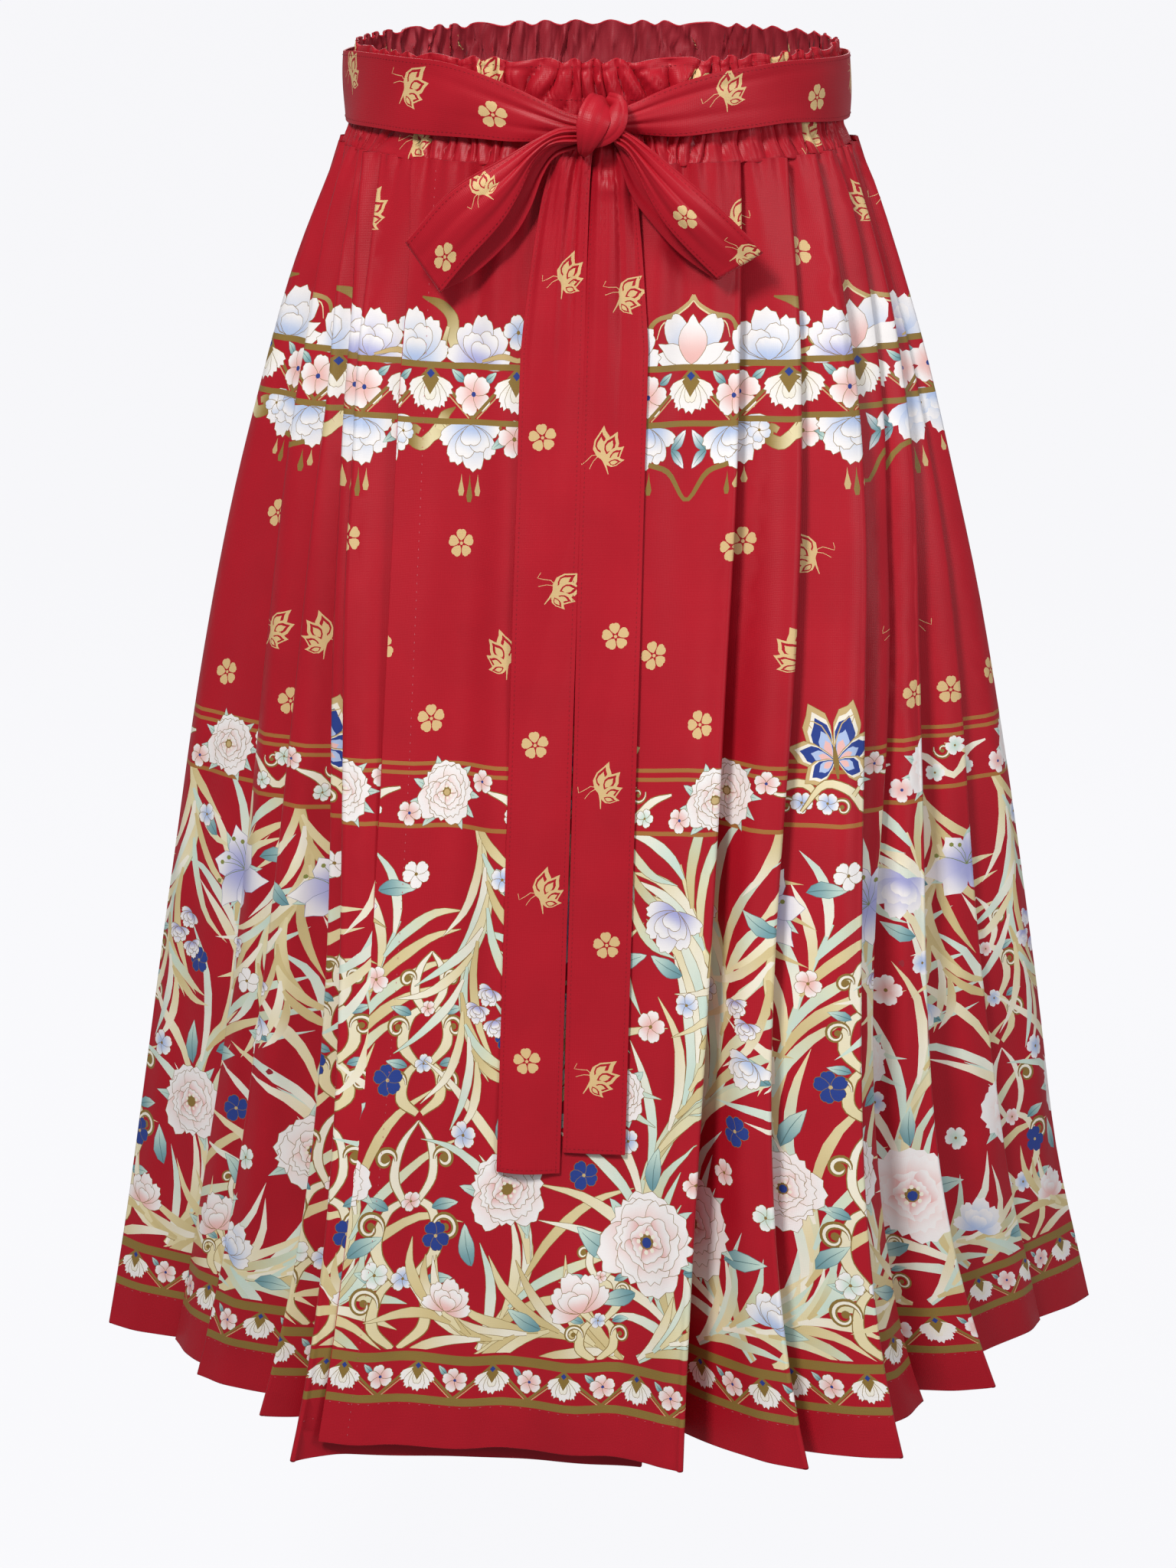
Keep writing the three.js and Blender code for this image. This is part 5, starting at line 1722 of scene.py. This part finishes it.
def waistband():
    """The band: printed side, reverse, rolled edges and the stitches of its channels."""
    piece = Piece("waistband_cloth")
    printed(piece, band_place, fixed(0.0), fixed(BAND_CLOTH), BAND_TOP, BAND_BOTTOM,
            motifs(BAND_MOTIFS, *BAND_MOTIF_SIZES), (), BAND_GRID, edge_rows=20, even=True)
    us = np.linspace(0, BAND_CLOTH, int(BAND_CLOTH / BAND_GRID[0]) + 1)
    zs = np.linspace(BAND_TOP, BAND_BOTTOM, BAND_BACK_ROWS)
    reverse_side(piece, lambda u, z: band_place(u, z, BAND_BACK_FULLNESS), us, zs, BAND_INNER)
    for z, away in ((BAND_TOP, (0, 1)), (BAND_BOTTOM, (0, -1))):
        rim(piece, band_place, us, np.full(len(us), z), away, BAND_INNER, 2)
    us = np.arange(1, BAND_CLOTH, STITCH_STEP)
    for z in CHANNEL_SEAMS:
        stitches(piece, band_place, us, z + 0.25 * np.sin(us), True, CHANNEL_THREAD)
    return piece


made["waistband"] = waistband()

# The sash round the band
SASH_LENGTH = 795.0
SASH_HALF_WIDTH, SASH_HALF_DEPTH = 141.0, 111.5
SASH_HEIGHT = 36.0
SASH_CROWN = 3.0
# Top and bottom edge of the sash by the angle from the knot, on the left (-1) and the right (1)
SASH_EDGES = {
    -1: ((0, 5, 12.5, 18.6, 28.8, 37, 55, 72, 90, 120, 180), (-8, -7, 1, 7.6, 16, 20, 20, 19, 16, 13, 13),
         (-18, -19.5, -20.5, -21.6, -20, -19.6, -19.8, -20.6, -21.6, -23, -23)),
    1: ((0, 6.6, 12, 18.3, 26.6, 46, 70, 90, 120, 180), (-5, -3, 4, 10, 15.2, 17.9, 16.8, 15.2, 13, 13),
        (-16, -15.6, -17.4, -18.2, -16.4, -14.8, -18, -20.6, -23, -23)),
}
# Creases that run out from the knot: place across the sash (-1 bottom, 1 top), its drift for each
# degree, width, depth, and the degrees over which it fades
SASH_CREASES = {
    -1: ((0.1, 0.012, 0.16, 2.3, 15), (-0.52, 0.004, 0.14, 1.5, 11), (0.58, 0.006, 0.16, 1.2, 9)),
    1: ((0.36, 0.006, 0.15, 2.2, 19), (-0.34, -0.002, 0.17, 1.7, 16), (0.0, 0.01, 0.14, 1.0, 10)),
}


def eased_along(away, places, values):
    """The value at each angle, with the corners between the known places rounded."""
    return sum(np.interp(np.abs(away + k), places, values) for k in (-3, -1.5, 0, 1.5, 3)) / 5


def sash_place(u, v):
    """The sash round the band, creased where it runs into the knot."""
    degrees = u * 360 / SASH_LENGTH
    away = np.abs(((degrees + 180) % 360) - 180)
    s = v / (SASH_HEIGHT / 2)
    a = np.radians(degrees)
    nx, ny = np.sin(a) / SASH_HALF_WIDTH, -np.cos(a) / SASH_HALF_DEPTH
    size = np.hypot(nx, ny)
    on_right = degrees % 360 < 180
    side = np.where(on_right, 1.0, -1.0)
    ends = {}
    for way, (degrees_known, tops, lows) in SASH_EDGES.items():
        ends[way] = [eased_along(away, degrees_known, known) for known in (tops, lows)]
    top, low = (np.where(on_right, ends[1][c], ends[-1][c]) for c in (0, 1))
    crease = np.zeros(len(u))
    for way, marks in SASH_CREASES.items():
        for at, drift, wide, deep, fade in marks:
            cut = deep * np.exp(-np.maximum(away - 3, 0) / fade)
            cut = cut * np.exp(-(((s - at - drift * away) / wide) ** 2))
            crease += np.where(side == way, cut, 0)
    near = np.exp(-np.maximum(away - 4, 0) / 12)
    long = 0.45 * np.sin(2.2 * s + away / 11 + side) + 0.3 * np.sin(away / 4.3 + 2.4 * s)
    out = SASH_CROWN * near * (1 - s * s) + 1.4 * near - np.minimum(crease, 1.6 + 0.9 * near) + long + 0.5
    z = (top + low) / 2 + (top - low) / 2 * s + 0.35 * np.sin(away / 7 + side)
    return np.stack(
        [SASH_HALF_WIDTH * np.sin(a) + nx / size * out, -SASH_HALF_DEPTH * np.cos(a) + ny / size * out, z], 1
    )


RIBBON_STITCH_STEP = 2.6
RIBBON_STITCH_IN = 1.8
RIM_STEP = 1.6
END_POINTS = 24


def ribbon(piece, place, u0, u1, half, drawing, grid, lines=()):
    """A ribbon of doubled cloth: both sides, rolled edges, and a row of stitches along each edge."""
    printed(piece, place, fixed(u0), fixed(u1), half, -half, drawing, lines, grid, edge_rows=24, even=True)
    us = np.linspace(u0, u1, max(6, int((u1 - u0) / (grid[0] * 1.6))))
    reverse_side(piece, place, us, np.linspace(half, -half, 9), INNER, RED)
    us = np.linspace(u0, u1, max(8, int((u1 - u0) / RIM_STEP)))
    for v, away in ((half, (0, 1)), (-half, (0, -1))):
        rim(piece, place, us, np.full(len(us), v), away, steps=3)
    vs = np.linspace(-half, half, END_POINTS)
    for u, away in ((u0, (-1, 0)), (u1, (1, 0))):
        rim(piece, place, np.full(END_POINTS, u), vs, away, steps=3)
    us = np.arange(u0 + 1, u1 - 1, RIBBON_STITCH_STEP)
    for v in (half - RIBBON_STITCH_IN, -half + RIBBON_STITCH_IN):
        stitches(piece, place, us, np.full(len(us), v), True, RIBBON_THREAD)


# The stretches of the sash: where each starts and ends along it, and the grid of its print
sash_drawing = motifs(SASH_MOTIFS, 8, 18)
for name, u0, u1, grid in (
    ("sash_right", 0.4, SASH_LENGTH * 91.88 / 360, (2.2, 1.6)),
    ("sash_back", SASH_LENGTH * 92 / 360, SASH_LENGTH * 268 / 360, (5, 4)),
    ("sash_left", SASH_LENGTH * 268.12 / 360, SASH_LENGTH - 0.4, (2.2, 1.6)),
):
    made[name] = Piece(name + "_cloth")
    ribbon(made[name], sash_place, u0, u1, SASH_HEIGHT / 2, sash_drawing, grid)


# The knot: a strip wrapped over the front, a lobe round the right side and the core that they hold
# Middle and radii of the core
KNOT_CORE = ((0.5, -121.6, -12.0), (11.5, 5.6, 10.0))
# Middle line (x, y, z) and width of each wrap
KNOT_LOBE = (
    ((6, -117, 3.0), (10.6, -122.5, 1.4), (11.4, -127, -3), (10.6, -129, -8.5), (7, -129.6, -13.6),
     (1, -128.4, -17.4), (-5, -124, -20)),
    (6, 8.4, 9.2, 9.4, 9.0, 7.6, 5),
)
KNOT_WRAP = (
    ((2.5, -117.5, 2.2), (1.2, -125, 0.4), (-1.2, -130.4, -4.8), (-3.2, -131.8, -11), (-5, -130.6, -17.4),
     (-6.6, -126.5, -23.4), (-7, -120, -26)),
    (12, 15.6, 17.2, 15.4, 11.4, 7.0, 4),
)
WRAP_HALF = 8.0
WRAP_STEPS = 60


def reach_of(line):
    """How far along a line each of its points is."""
    return np.concatenate([[0], np.cumsum(np.linalg.norm(np.diff(line, axis=0), axis=1))])


def wrap_surface(points, widths, crown, folds):
    """A strip of the knot along its middle line. Gives its surface and its length."""
    line = curve(points, WRAP_STEPS)
    reach = reach_of(line)
    run = unit(np.gradient(line, axis=0))
    across = unit(np.stack([-run[:, 2], 0 * run[:, 0], run[:, 0]], 1))
    across = across * np.where(across[:, :1] < 0, -1.0, 1.0)
    outward = unit(np.cross(across, run))
    outward = outward * np.where(outward[:, 1:2] > 0, -1.0, 1.0)
    shares = np.linspace(0, 1, WRAP_STEPS)
    wide = np.interp(shares, np.linspace(0, 1, len(widths)), widths) / 2

    def place(u, v):
        s = v / WRAP_HALF
        columns = ([np.interp(u, reach, t[:, c]) for c in range(3)] for t in (line, across, outward))
        found = [np.stack(column, 1) for column in columns]
        w = np.interp(u, reach, wide)
        share = np.clip(u / reach[-1], 0, 1)
        out = crown * (1 - s * s)
        for at, drift, width, deep in folds:
            out = out - deep * np.exp(-(((s - at - drift * share) / width) ** 2))
        return found[0] + found[1] * (w * s)[:, None] + found[2] * out[:, None]

    return place, float(reach[-1])


CORE_ROWS, CORE_COLUMNS = 31, 61


def knot_core(piece):
    """The padded core: a rounded lump."""
    turns = np.linspace(-math.pi, math.pi, CORE_COLUMNS)
    around, up = np.meshgrid(turns, np.linspace(math.pi / 2, -math.pi / 2, CORE_ROWS) * 0.985)
    ball = np.stack([np.cos(up) * np.sin(around), -np.cos(up) * np.cos(around), np.sin(up)], -1)
    ball = ball.reshape(-1, 3)
    lumps = 1 + 0.05 * np.sin(5 * ball[:, 0] + 2 * ball[:, 2]) * np.cos(4 * ball[:, 2])
    middle, radii = (np.array(sizes) for sizes in KNOT_CORE)
    cloth = np.stack([around.ravel() * 13, up.ravel() * 12], 1)
    at = middle + ball * KNOT_CORE[1] * lumps[:, None]
    piece.add(at, unit(ball / radii), grid_faces(CORE_ROWS, CORE_COLUMNS), rgb(RED), 0, cloth)


knot = Piece("knot_cloth")
knot_core(knot)
for (points, widths), crown, folds, marks in (
    (KNOT_LOBE, 1.3, ((0.35, 0.1, 0.2, 0.5),), ()),
    (KNOT_WRAP, 1.7, ((-0.62, 0.2, 0.13, 1.0), (0.5, -0.3, 0.25, 0.55)), ((-15, -2, 200, 0),)),
):
    place, total = wrap_surface(points, widths, crown, folds)
    # u runs up the wrap here, so that its outer side faces the front
    upward = lambda u, v, place=place: place(-u, v)
    ribbon(knot, upward, -total, 0.0, WRAP_HALF, motifs(marks, 8, 8.5), (1.3, 1.3))
made["knot"] = knot

# The bow's loops
# Edges of each loop (x, z) from the knot to the end: the upper edge, and the lower edge of the front
# and of the back layer
LOOPS = (
    ("bow_loop_left", -1, 8.0,
     ((-9, -11.5), (-23, -13.4), (-50, -28.6), (-78, -45.6), (-101, -71.4)),
     ((-9, -19.5), (-24, -20.5), (-34, -29.5), (-42, -46), (-52, -62), (-70, -82), (-83, -98)),
     ((-9, -22), (-22, -27), (-29, -37), (-36, -55), (-46, -71), (-66, -90), (-83, -99))),
    ("bow_loop_right", 1, 9.0,
     ((9, -11), (22, -18.6), (53.5, -44.6), (72, -61.5), (87, -77)),
     ((9, -19.5), (17, -26), (27, -46), (36, -61), (48, -75), (63.5, -91)),
     ((9, -22), (12.5, -32), (18, -47), (27, -60), (43, -78), (63, -93))),
)
LOOP_WIDTH_HALF = 17.5
LOOP_ROOT_Y, LOOP_FALL_BACK, LOOP_APART = -123.5, 4.0, 5.0
LOOP_TIP = 4.0
LOOP_STEPS = 60
# Lines of points beside the fold at a loop's end
TIP_LINES = (-4, -2.5, -1.2, 0, 1.2, 2.5, 4)


def even_line(points):
    """Points at even steps along a smooth line."""
    fine = curve(points, 80)
    reach = reach_of(fine)
    places = np.linspace(0, reach[-1], LOOP_STEPS)
    return np.stack([np.interp(places, reach, fine[:, c]) for c in range(2)], 1)


LOOP_FADE = 30  # over which length its folds from the knot fade


def loop_surface(side, puff, upper, lower, behind):
    """A loop of the bow, out to its end and back. Gives its surface and its length."""
    lines = [even_line(points) for points in (upper, lower, behind)]
    middle = (lines[0] + lines[1]) / 2
    long = float(np.sum(np.linalg.norm(np.diff(middle, axis=0), axis=1)))
    total = 2 * long + 2 * LOOP_TIP
    steps = np.linspace(0, 1, LOOP_STEPS)

    def at_share(line, s):
        return np.stack([np.interp(s, steps, line[:, 0]), np.interp(s, steps, line[:, 1])], 1)

    way = unit(middle[-1] - middle[-6])

    def place(u, v):
        w = u * side  # from the front root, over the end, to the back root
        s = np.clip(np.where(w < total / 2, w, total - w) / long, 0, 1)
        turn = np.clip((w - long) / (2 * LOOP_TIP), 0, 1)  # through the end's fold
        layer = np.cos(math.pi * turn)
        out = np.sin(math.pi * turn)
        swell = np.sin(math.pi * s)
        t = v / LOOP_WIDTH_HALF
        front = np.clip(layer, 0, 1)
        share = ((1 - t) / 2)[:, None]
        back = np.clip(-layer, 0, 1)[:, None]
        low = at_share(lines[1], s) * (1 - back) + at_share(lines[2], s) * back
        flat = at_share(lines[0], s) * (1 - share) + low * share + way * (out * LOOP_APART / 2)[:, None]
        y = LOOP_ROOT_Y + LOOP_FALL_BACK * s - layer * LOOP_APART / 2
        y = y - front * puff * swell * (1 - 0.3 * t * t)
        near = np.exp(-s * long / LOOP_FADE)
        y = y - layer * near * (1.5 * np.cos(3.2 * math.pi * t + 0.5) + 0.7 * np.cos(6 * math.pi * t))
        crease = 2.0 * np.exp(-(((t - 0.1 - 0.2 * s) / 0.16) ** 2)) * np.exp(-s / 0.55)
        hollow = 1.6 * np.exp(-(((t + 0.62) / 0.2) ** 2)) * swell
        y = y + front * (crease + hollow) - front * 0.8 * np.sin(2.6 * t + 4.2 * s) * swell
        return np.stack([flat[:, 0], y - 0.4, flat[:, 1]], 1)

    return place, total


for name, side, puff, upper, lower, behind in LOOPS:
    place, total = loop_surface(side, puff, upper, lower, behind)
    lines = tuple(side * (total / 2 + k) for k in TIP_LINES)
    u0, u1 = (0.0, total) if side > 0 else (-total, 0.0)
    drawing = motifs(LOOP_MOTIFS[name], 7.6, 16, side)
    made[name] = Piece(name + "_cloth")
    ribbon(made[name], place, u0, u1, LOOP_WIDTH_HALF, drawing, (2.0, 1.8), lines)


# The tails: place across at the top, at the hip and at the end, height of the end, and how far one
# hangs in front of the other
TAILS = (
    ("sash_tail_left", -7, -24.1, -38.3, -584, 1.3),
    ("sash_tail_right", 7, 10.2, -1.7, -572, 0.0),
)
TAIL_TOP_Z, TAIL_TOP_Y, TAIL_DROP, TAIL_SPREAD = -19.5, -114.7, 14.0, 0.2
TAIL_TOP_HALF, TAIL_HALF, TAIL_ROOM = 6.0, 17.0, 2.2
TAIL_GRID = (1.9, 3.4)
TAIL_MOTIF_SIZES = (7.6, 17.5)  # of a blossom and of a butterfly
TAIL_LEVELS, TAIL_CROWD = 70, 1.3  # the levels lie closer together near the knot
TAIL_OPENING = 0.42  # how quickly the tail opens to its full width
TAIL_FADE = 60  # over which length its folds from the knot fade
TAIL_ACROSS, TAIL_BACK_ROWS, TAIL_SIDE_POINTS = 9, 110, 200
DOOR_SAMPLES = np.linspace(-1, 1, 7)  # where a level of the tail is checked against the door
TAIL_STITCH_IN, END_STITCH_UP = 1.9, 2.0
# Bumps near the knot: place across, height, width, tallness, how far they stand out
TAIL_BUMPS = {
    "sash_tail_left": (
        (9.5, -60, 1.6, 60, -1.7), (13.5, -55, 2.4, 70, 1.5), (-5, -38, 4, 26, 1.6), (3, -44, 3, 30, -1.2),
    ),
    "sash_tail_right": (
        (-2, -25, 9, 4.5, 3.6), (-7, -34.5, 7.5, 5.5, -2.4), (9, -36, 3.6, 11, 2.8), (-3, -44, 8, 4.5, 1.6),
        (4, -70, 2.6, 26, -1.0),
    ),
}
DOOR_LINES = np.stack(door_face(DOOR_COLUMNS), 1)


def door_depth(x, z):
    """How far back the outer door lies at a place."""
    row = np.interp((SEAM_Z - z) / (SEAM_Z - HEM_Z), T, np.arange(ROWS))
    r = min(int(row), ROWS - 2)
    s = row - r
    line = DOOR_LINES[r] * (1 - s) + DOOR_LINES[r + 1] * s
    return np.interp(x, line[:, 0], line[:, 1])


def tail_surface(bumps, top_x, hip_x, end_x, end_z, forward):
    """A tail that hangs from the knot and lies on the outer door."""
    zs = TAIL_TOP_Z + (end_z - TAIL_TOP_Z) * np.linspace(0, 1, TAIL_LEVELS) ** TAIL_CROWD
    table = []
    for z in zs:
        fall = (TAIL_TOP_Z - z) / (TAIL_TOP_Z - end_z)
        spread = min(1, fall / TAIL_SPREAD) ** TAIL_OPENING
        below = max(0, (fall - TAIL_SPREAD) / (1 - TAIL_SPREAD))
        x = top_x + (hip_x - top_x) * spread
        x += (end_x - x) * below
        half = TAIL_TOP_HALF + (TAIL_HALF - TAIL_TOP_HALF) * spread
        reach = max(half, TAIL_HALF)
        z_door = min(z, SEAM_Z)
        left, right = door_depth(x - reach, z_door), door_depth(x + reach, z_door)
        slope = (right - left) / (2 * reach)
        depths = [door_depth(x + reach * p, z_door) for p in DOOR_SAMPLES]
        chord = [(left + right) / 2 + (right - left) / 2 * p for p in DOOR_SAMPLES]
        y = (left + right) / 2 - max(0, max(c - depth for c, depth in zip(chord, depths)))
        settled = min(1, (TAIL_TOP_Z - z) / TAIL_DROP)
        y = TAIL_TOP_Y + (y - TAIL_ROOM - forward - TAIL_TOP_Y) * settled
        table.append((x, y, half, slope))
    table = np.array(table)

    def place(u, z):
        x, y, half, slope = (np.interp(-z, -zs, table[:, c]) for c in range(4))
        s = u / TAIL_HALF
        fall = TAIL_TOP_Z - z
        near = np.exp(-fall / TAIL_FADE)
        folds = near * (1.2 * np.cos(3.4 * math.pi * s + 0.9 + top_x) + 0.5 * np.cos(6.2 * math.pi * s))
        soft = 0.5 * np.sin(fall / 60 + 1.8 * s + top_x) + 0.35 * np.sin(fall / 27 + 2.6 * s)
        out = 0.5 + 0.6 * (1 - s * s) + np.maximum(folds, -0.6) + np.maximum(soft, -0.5)
        out = out - 0.55 * forward * s * np.clip(fall / TAIL_FADE, 0, 1)
        for bump_u, bump_z, wide, tall, stand in bumps:
            out = out + stand * np.exp(-(((u - bump_u) / wide) ** 2) - ((z - bump_z) / tall) ** 2)
        at = sway(x + half * s, y + slope * half * s, np.minimum(z, SEAM_Z))
        return np.stack([at[:, 0] + slope * out, at[:, 1] - out, z], 1)

    return place


def tail(name, *spec):
    """A tail: both sides, rolled edges, and stitches along its sides and its end."""
    place = tail_surface(TAIL_BUMPS[name], *spec)
    end_z = spec[3]
    piece = Piece(name + "_cloth")
    printed(piece, place, fixed(-TAIL_HALF), fixed(TAIL_HALF), TAIL_TOP_Z, end_z,
            motifs(TAIL_MOTIFS[name], *TAIL_MOTIF_SIZES), (), TAIL_GRID, edge_rows=180, even=True)
    us = np.linspace(-TAIL_HALF, TAIL_HALF, TAIL_ACROSS)
    reverse_side(piece, place, us, np.linspace(TAIL_TOP_Z, end_z, TAIL_BACK_ROWS), INNER, RED)
    side_z = np.linspace(TAIL_TOP_Z, end_z, TAIL_SIDE_POINTS)
    stitch_z = np.arange(end_z + 1, TAIL_TOP_Z - 4, RIBBON_STITCH_STEP)
    for side in (-1, 1):
        rim(piece, place, np.full(len(side_z), side * TAIL_HALF), side_z, (side, 0), steps=3)
        stitch_u = np.full(len(stitch_z), side * (TAIL_HALF - TAIL_STITCH_IN))
        stitches(piece, place, stitch_u, stitch_z, False, EDGE_THREAD)
    us = np.linspace(-TAIL_HALF, TAIL_HALF, END_POINTS)
    rim(piece, place, us, np.full(END_POINTS, end_z), (0, -1), steps=3)
    us = np.arange(-TAIL_HALF + 1, TAIL_HALF - 1, RIBBON_STITCH_STEP)
    stitches(piece, place, us, np.full(len(us), end_z + END_STITCH_UP), True, EDGE_THREAD)
    return piece


for name, *spec in TAILS:
    made[name] = tail(name, *spec)


def node(tree, kind, values=(), **settings):
    """A new node with its input values and its settings."""
    new = tree.nodes.new("ShaderNode" + kind)
    for key, value in settings.items():
        setattr(new, key, value)
    for key, value in dict(values).items():
        new.inputs[key].default_value = value
    return new


# The cloth's fine ribs (direction, scale of the wave), and the scale of its finer grain
RIBS = (("X", 300), ("Y", 340))
GRAIN_SCALE = 900


def cloth_material(name, rough, sheen, bump):
    """Printed satin: the colours of the corners, with soft patches of shade and a fine grain."""
    m = bpy.data.materials.new(name)
    m.use_nodes = True
    tree = m.node_tree
    link = tree.links.new
    shader = tree.nodes["Principled BSDF"]
    colour = node(tree, "Attribute", attribute_name="Print")
    where = node(tree, "UVMap", uv_map="Cloth")
    solid = node(tree, "TexCoord")
    patch = node(tree, "TexNoise", {"Scale": 26, "Detail": 3})
    link(solid.outputs["Object"], patch.inputs["Vector"])
    shade = node(tree, "MapRange", {"From Min": 0.3, "From Max": 0.7, "To Min": 0.94, "To Max": 1.05})
    link(patch.outputs["Fac"], shade.inputs["Value"])
    # yarn grain: two sets of fine ribs across each other
    grain = node(tree, "Math", operation="ADD")
    for i, (direction, size) in enumerate(RIBS):
        values = {"Scale": size, "Distortion": 1.2, "Detail": 1}
        wave = node(tree, "TexWave", values, bands_direction=direction)
        link(where.outputs["UV"], wave.inputs["Vector"])
        link(wave.outputs["Fac"], grain.inputs[i])
    fine = node(tree, "TexNoise", {"Scale": GRAIN_SCALE, "Detail": 2})
    link(where.outputs["UV"], fine.inputs["Vector"])
    height = node(tree, "Math", operation="ADD")
    link(grain.outputs[0], height.inputs[0])
    link(fine.outputs["Fac"], height.inputs[1])
    lift = node(tree, "Bump", {"Strength": bump, "Distance": 0.0002})
    link(height.outputs[0], lift.inputs["Height"])
    link(lift.outputs["Normal"], shader.inputs["Normal"])
    tint = node(tree, "VectorMath", operation="SCALE")
    link(colour.outputs["Color"], tint.inputs[0])
    link(shade.outputs["Result"], tint.inputs["Scale"])
    link(tint.outputs["Vector"], shader.inputs["Base Color"])
    for key, value in {
        "Roughness": rough,
        "Sheen Weight": sheen,
        "Sheen Roughness": 0.45,
        "Sheen Tint": (1.0, 0.55, 0.55, 1),
        "Specular IOR Level": 0.25,
    }.items():
        shader.inputs[key].default_value = value
    return m


thread = cloth_material("thread", 0.6, 0.1, 0.05)
CLOTHS = {
    "printed_cloth": cloth_material("printed_satin", 0.45, 0.03, 0.14),
    "sash_cloth": cloth_material("sash_satin", 0.42, 0.03, 0.14),
    "band_cloth": cloth_material("band_satin", 0.43, 0.03, 0.14),
}
PANELS = ("outer_door", "under_door", "back_door")
for name, piece in made.items():
    slot = "printed_cloth" if name in PANELS or name.startswith("pleats") else "sash_cloth"
    slot = "band_cloth" if name == "waistband" else slot
    shown = piece.make([CLOTHS[slot], thread])
    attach(shown, "root")
    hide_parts(name)


# Camera, lights and backdrop, in metres. The picture is shifted by SHIFT_PIXELS of its height
CAMERA_PLACE = (0, -2.221, 0.251)
LENS = 90.03
PITCH = 16.64
SHIFT_PIXELS, PICTURE_HEIGHT = -12, 2048
camera = bpy.data.cameras.new("camera")
camera.lens = LENS
camera.sensor_width = 36
camera.shift_x = SHIFT_PIXELS / PICTURE_HEIGHT
camera.clip_start = 0.05
view = show("camera", camera)
view.location = CAMERA_PLACE
view.rotation_euler = (math.radians(90 - PITCH), 0, 0)
bpy.context.scene.camera = view


def light(name, at, target, size, power, tint=(1, 1, 1)):
    """A soft light that faces its target."""
    lamp = bpy.data.lights.new(name, "AREA")
    lamp.shape = "RECTANGLE"
    lamp.size, lamp.size_y = size
    lamp.energy = power
    lamp.color = tint
    holder = show(name, lamp)
    holder.location = at
    holder.rotation_euler = (Vector(target) - Vector(at)).to_track_quat("-Z", "Y").to_euler()


light("key", (-0.95, -2.2, 1.75), (0, 0, -0.3), (0.5, 0.65), 65, (1, 0.99, 0.97))
light("fill", (1.9, -1.7, 0.7), (0, 0, -0.4), (0.9, 1.2), 21, (0.98, 0.99, 1))
light("over", (-0.2, -0.6, 2.3), (0, 0, -0.2), (0.9, 0.7), 12)
light("back", (0.3, 2.2, 0.9), (0, 0, -0.3), (2.0, 1.6), 22)

# The backdrop stays bright while it sends less light onto the cloth, as a far studio wall would
world = bpy.data.worlds.new("studio")
world.use_nodes = True
sky = world.node_tree
bright = sky.nodes["Background"]
bright.inputs["Color"].default_value = (0.925, 0.925, 0.955, 1)
bright.inputs["Strength"].default_value = 1.0
soft = node(sky, "Background", {"Color": (0.95, 0.95, 1.0, 1), "Strength": 0.27})
mixed = node(sky, "MixShader")
sky.links.new(node(sky, "LightPath").outputs["Is Camera Ray"], mixed.inputs["Fac"])
sky.links.new(soft.outputs[0], mixed.inputs[1])
sky.links.new(bright.outputs[0], mixed.inputs[2])
sky.links.new(mixed.outputs[0], sky.nodes["World Output"].inputs["Surface"])
bpy.context.scene.world = world

# A plain pale floor, well below the hem of a skirt worn by an adult. It is seen but sends no light back
FLOOR_Z, FLOOR_HALF = -1.08, 14.0
floor_mesh = bpy.data.meshes.new("floor")
corners = [(sx * FLOOR_HALF, sy * FLOOR_HALF, FLOOR_Z) for sx, sy in ((-1, -1), (1, -1), (1, 1), (-1, 1))]
floor_mesh.from_pydata(corners, [], [(0, 1, 2, 3)])
floor_look = bpy.data.materials.new("pale_floor")
floor_look.use_nodes = True
look = floor_look.node_tree
both = node(look, "MixShader", {"Fac": 0.05})
look.links.new(node(look, "Emission", {"Color": (0.965, 0.965, 0.99, 1)}).outputs[0], both.inputs[1])
look.links.new(node(look, "BsdfDiffuse", {"Color": (0.8, 0.8, 0.82, 1)}).outputs[0], both.inputs[2])
look.links.new(both.outputs[0], look.nodes["Material Output"].inputs["Surface"])
floor_mesh.materials.append(floor_look)
floor = show("floor", floor_mesh)
floor.visible_diffuse = False
floor.visible_glossy = False
bpy.context.scene.view_settings.view_transform = "Standard"
bpy.context.scene.view_settings.look = "None"
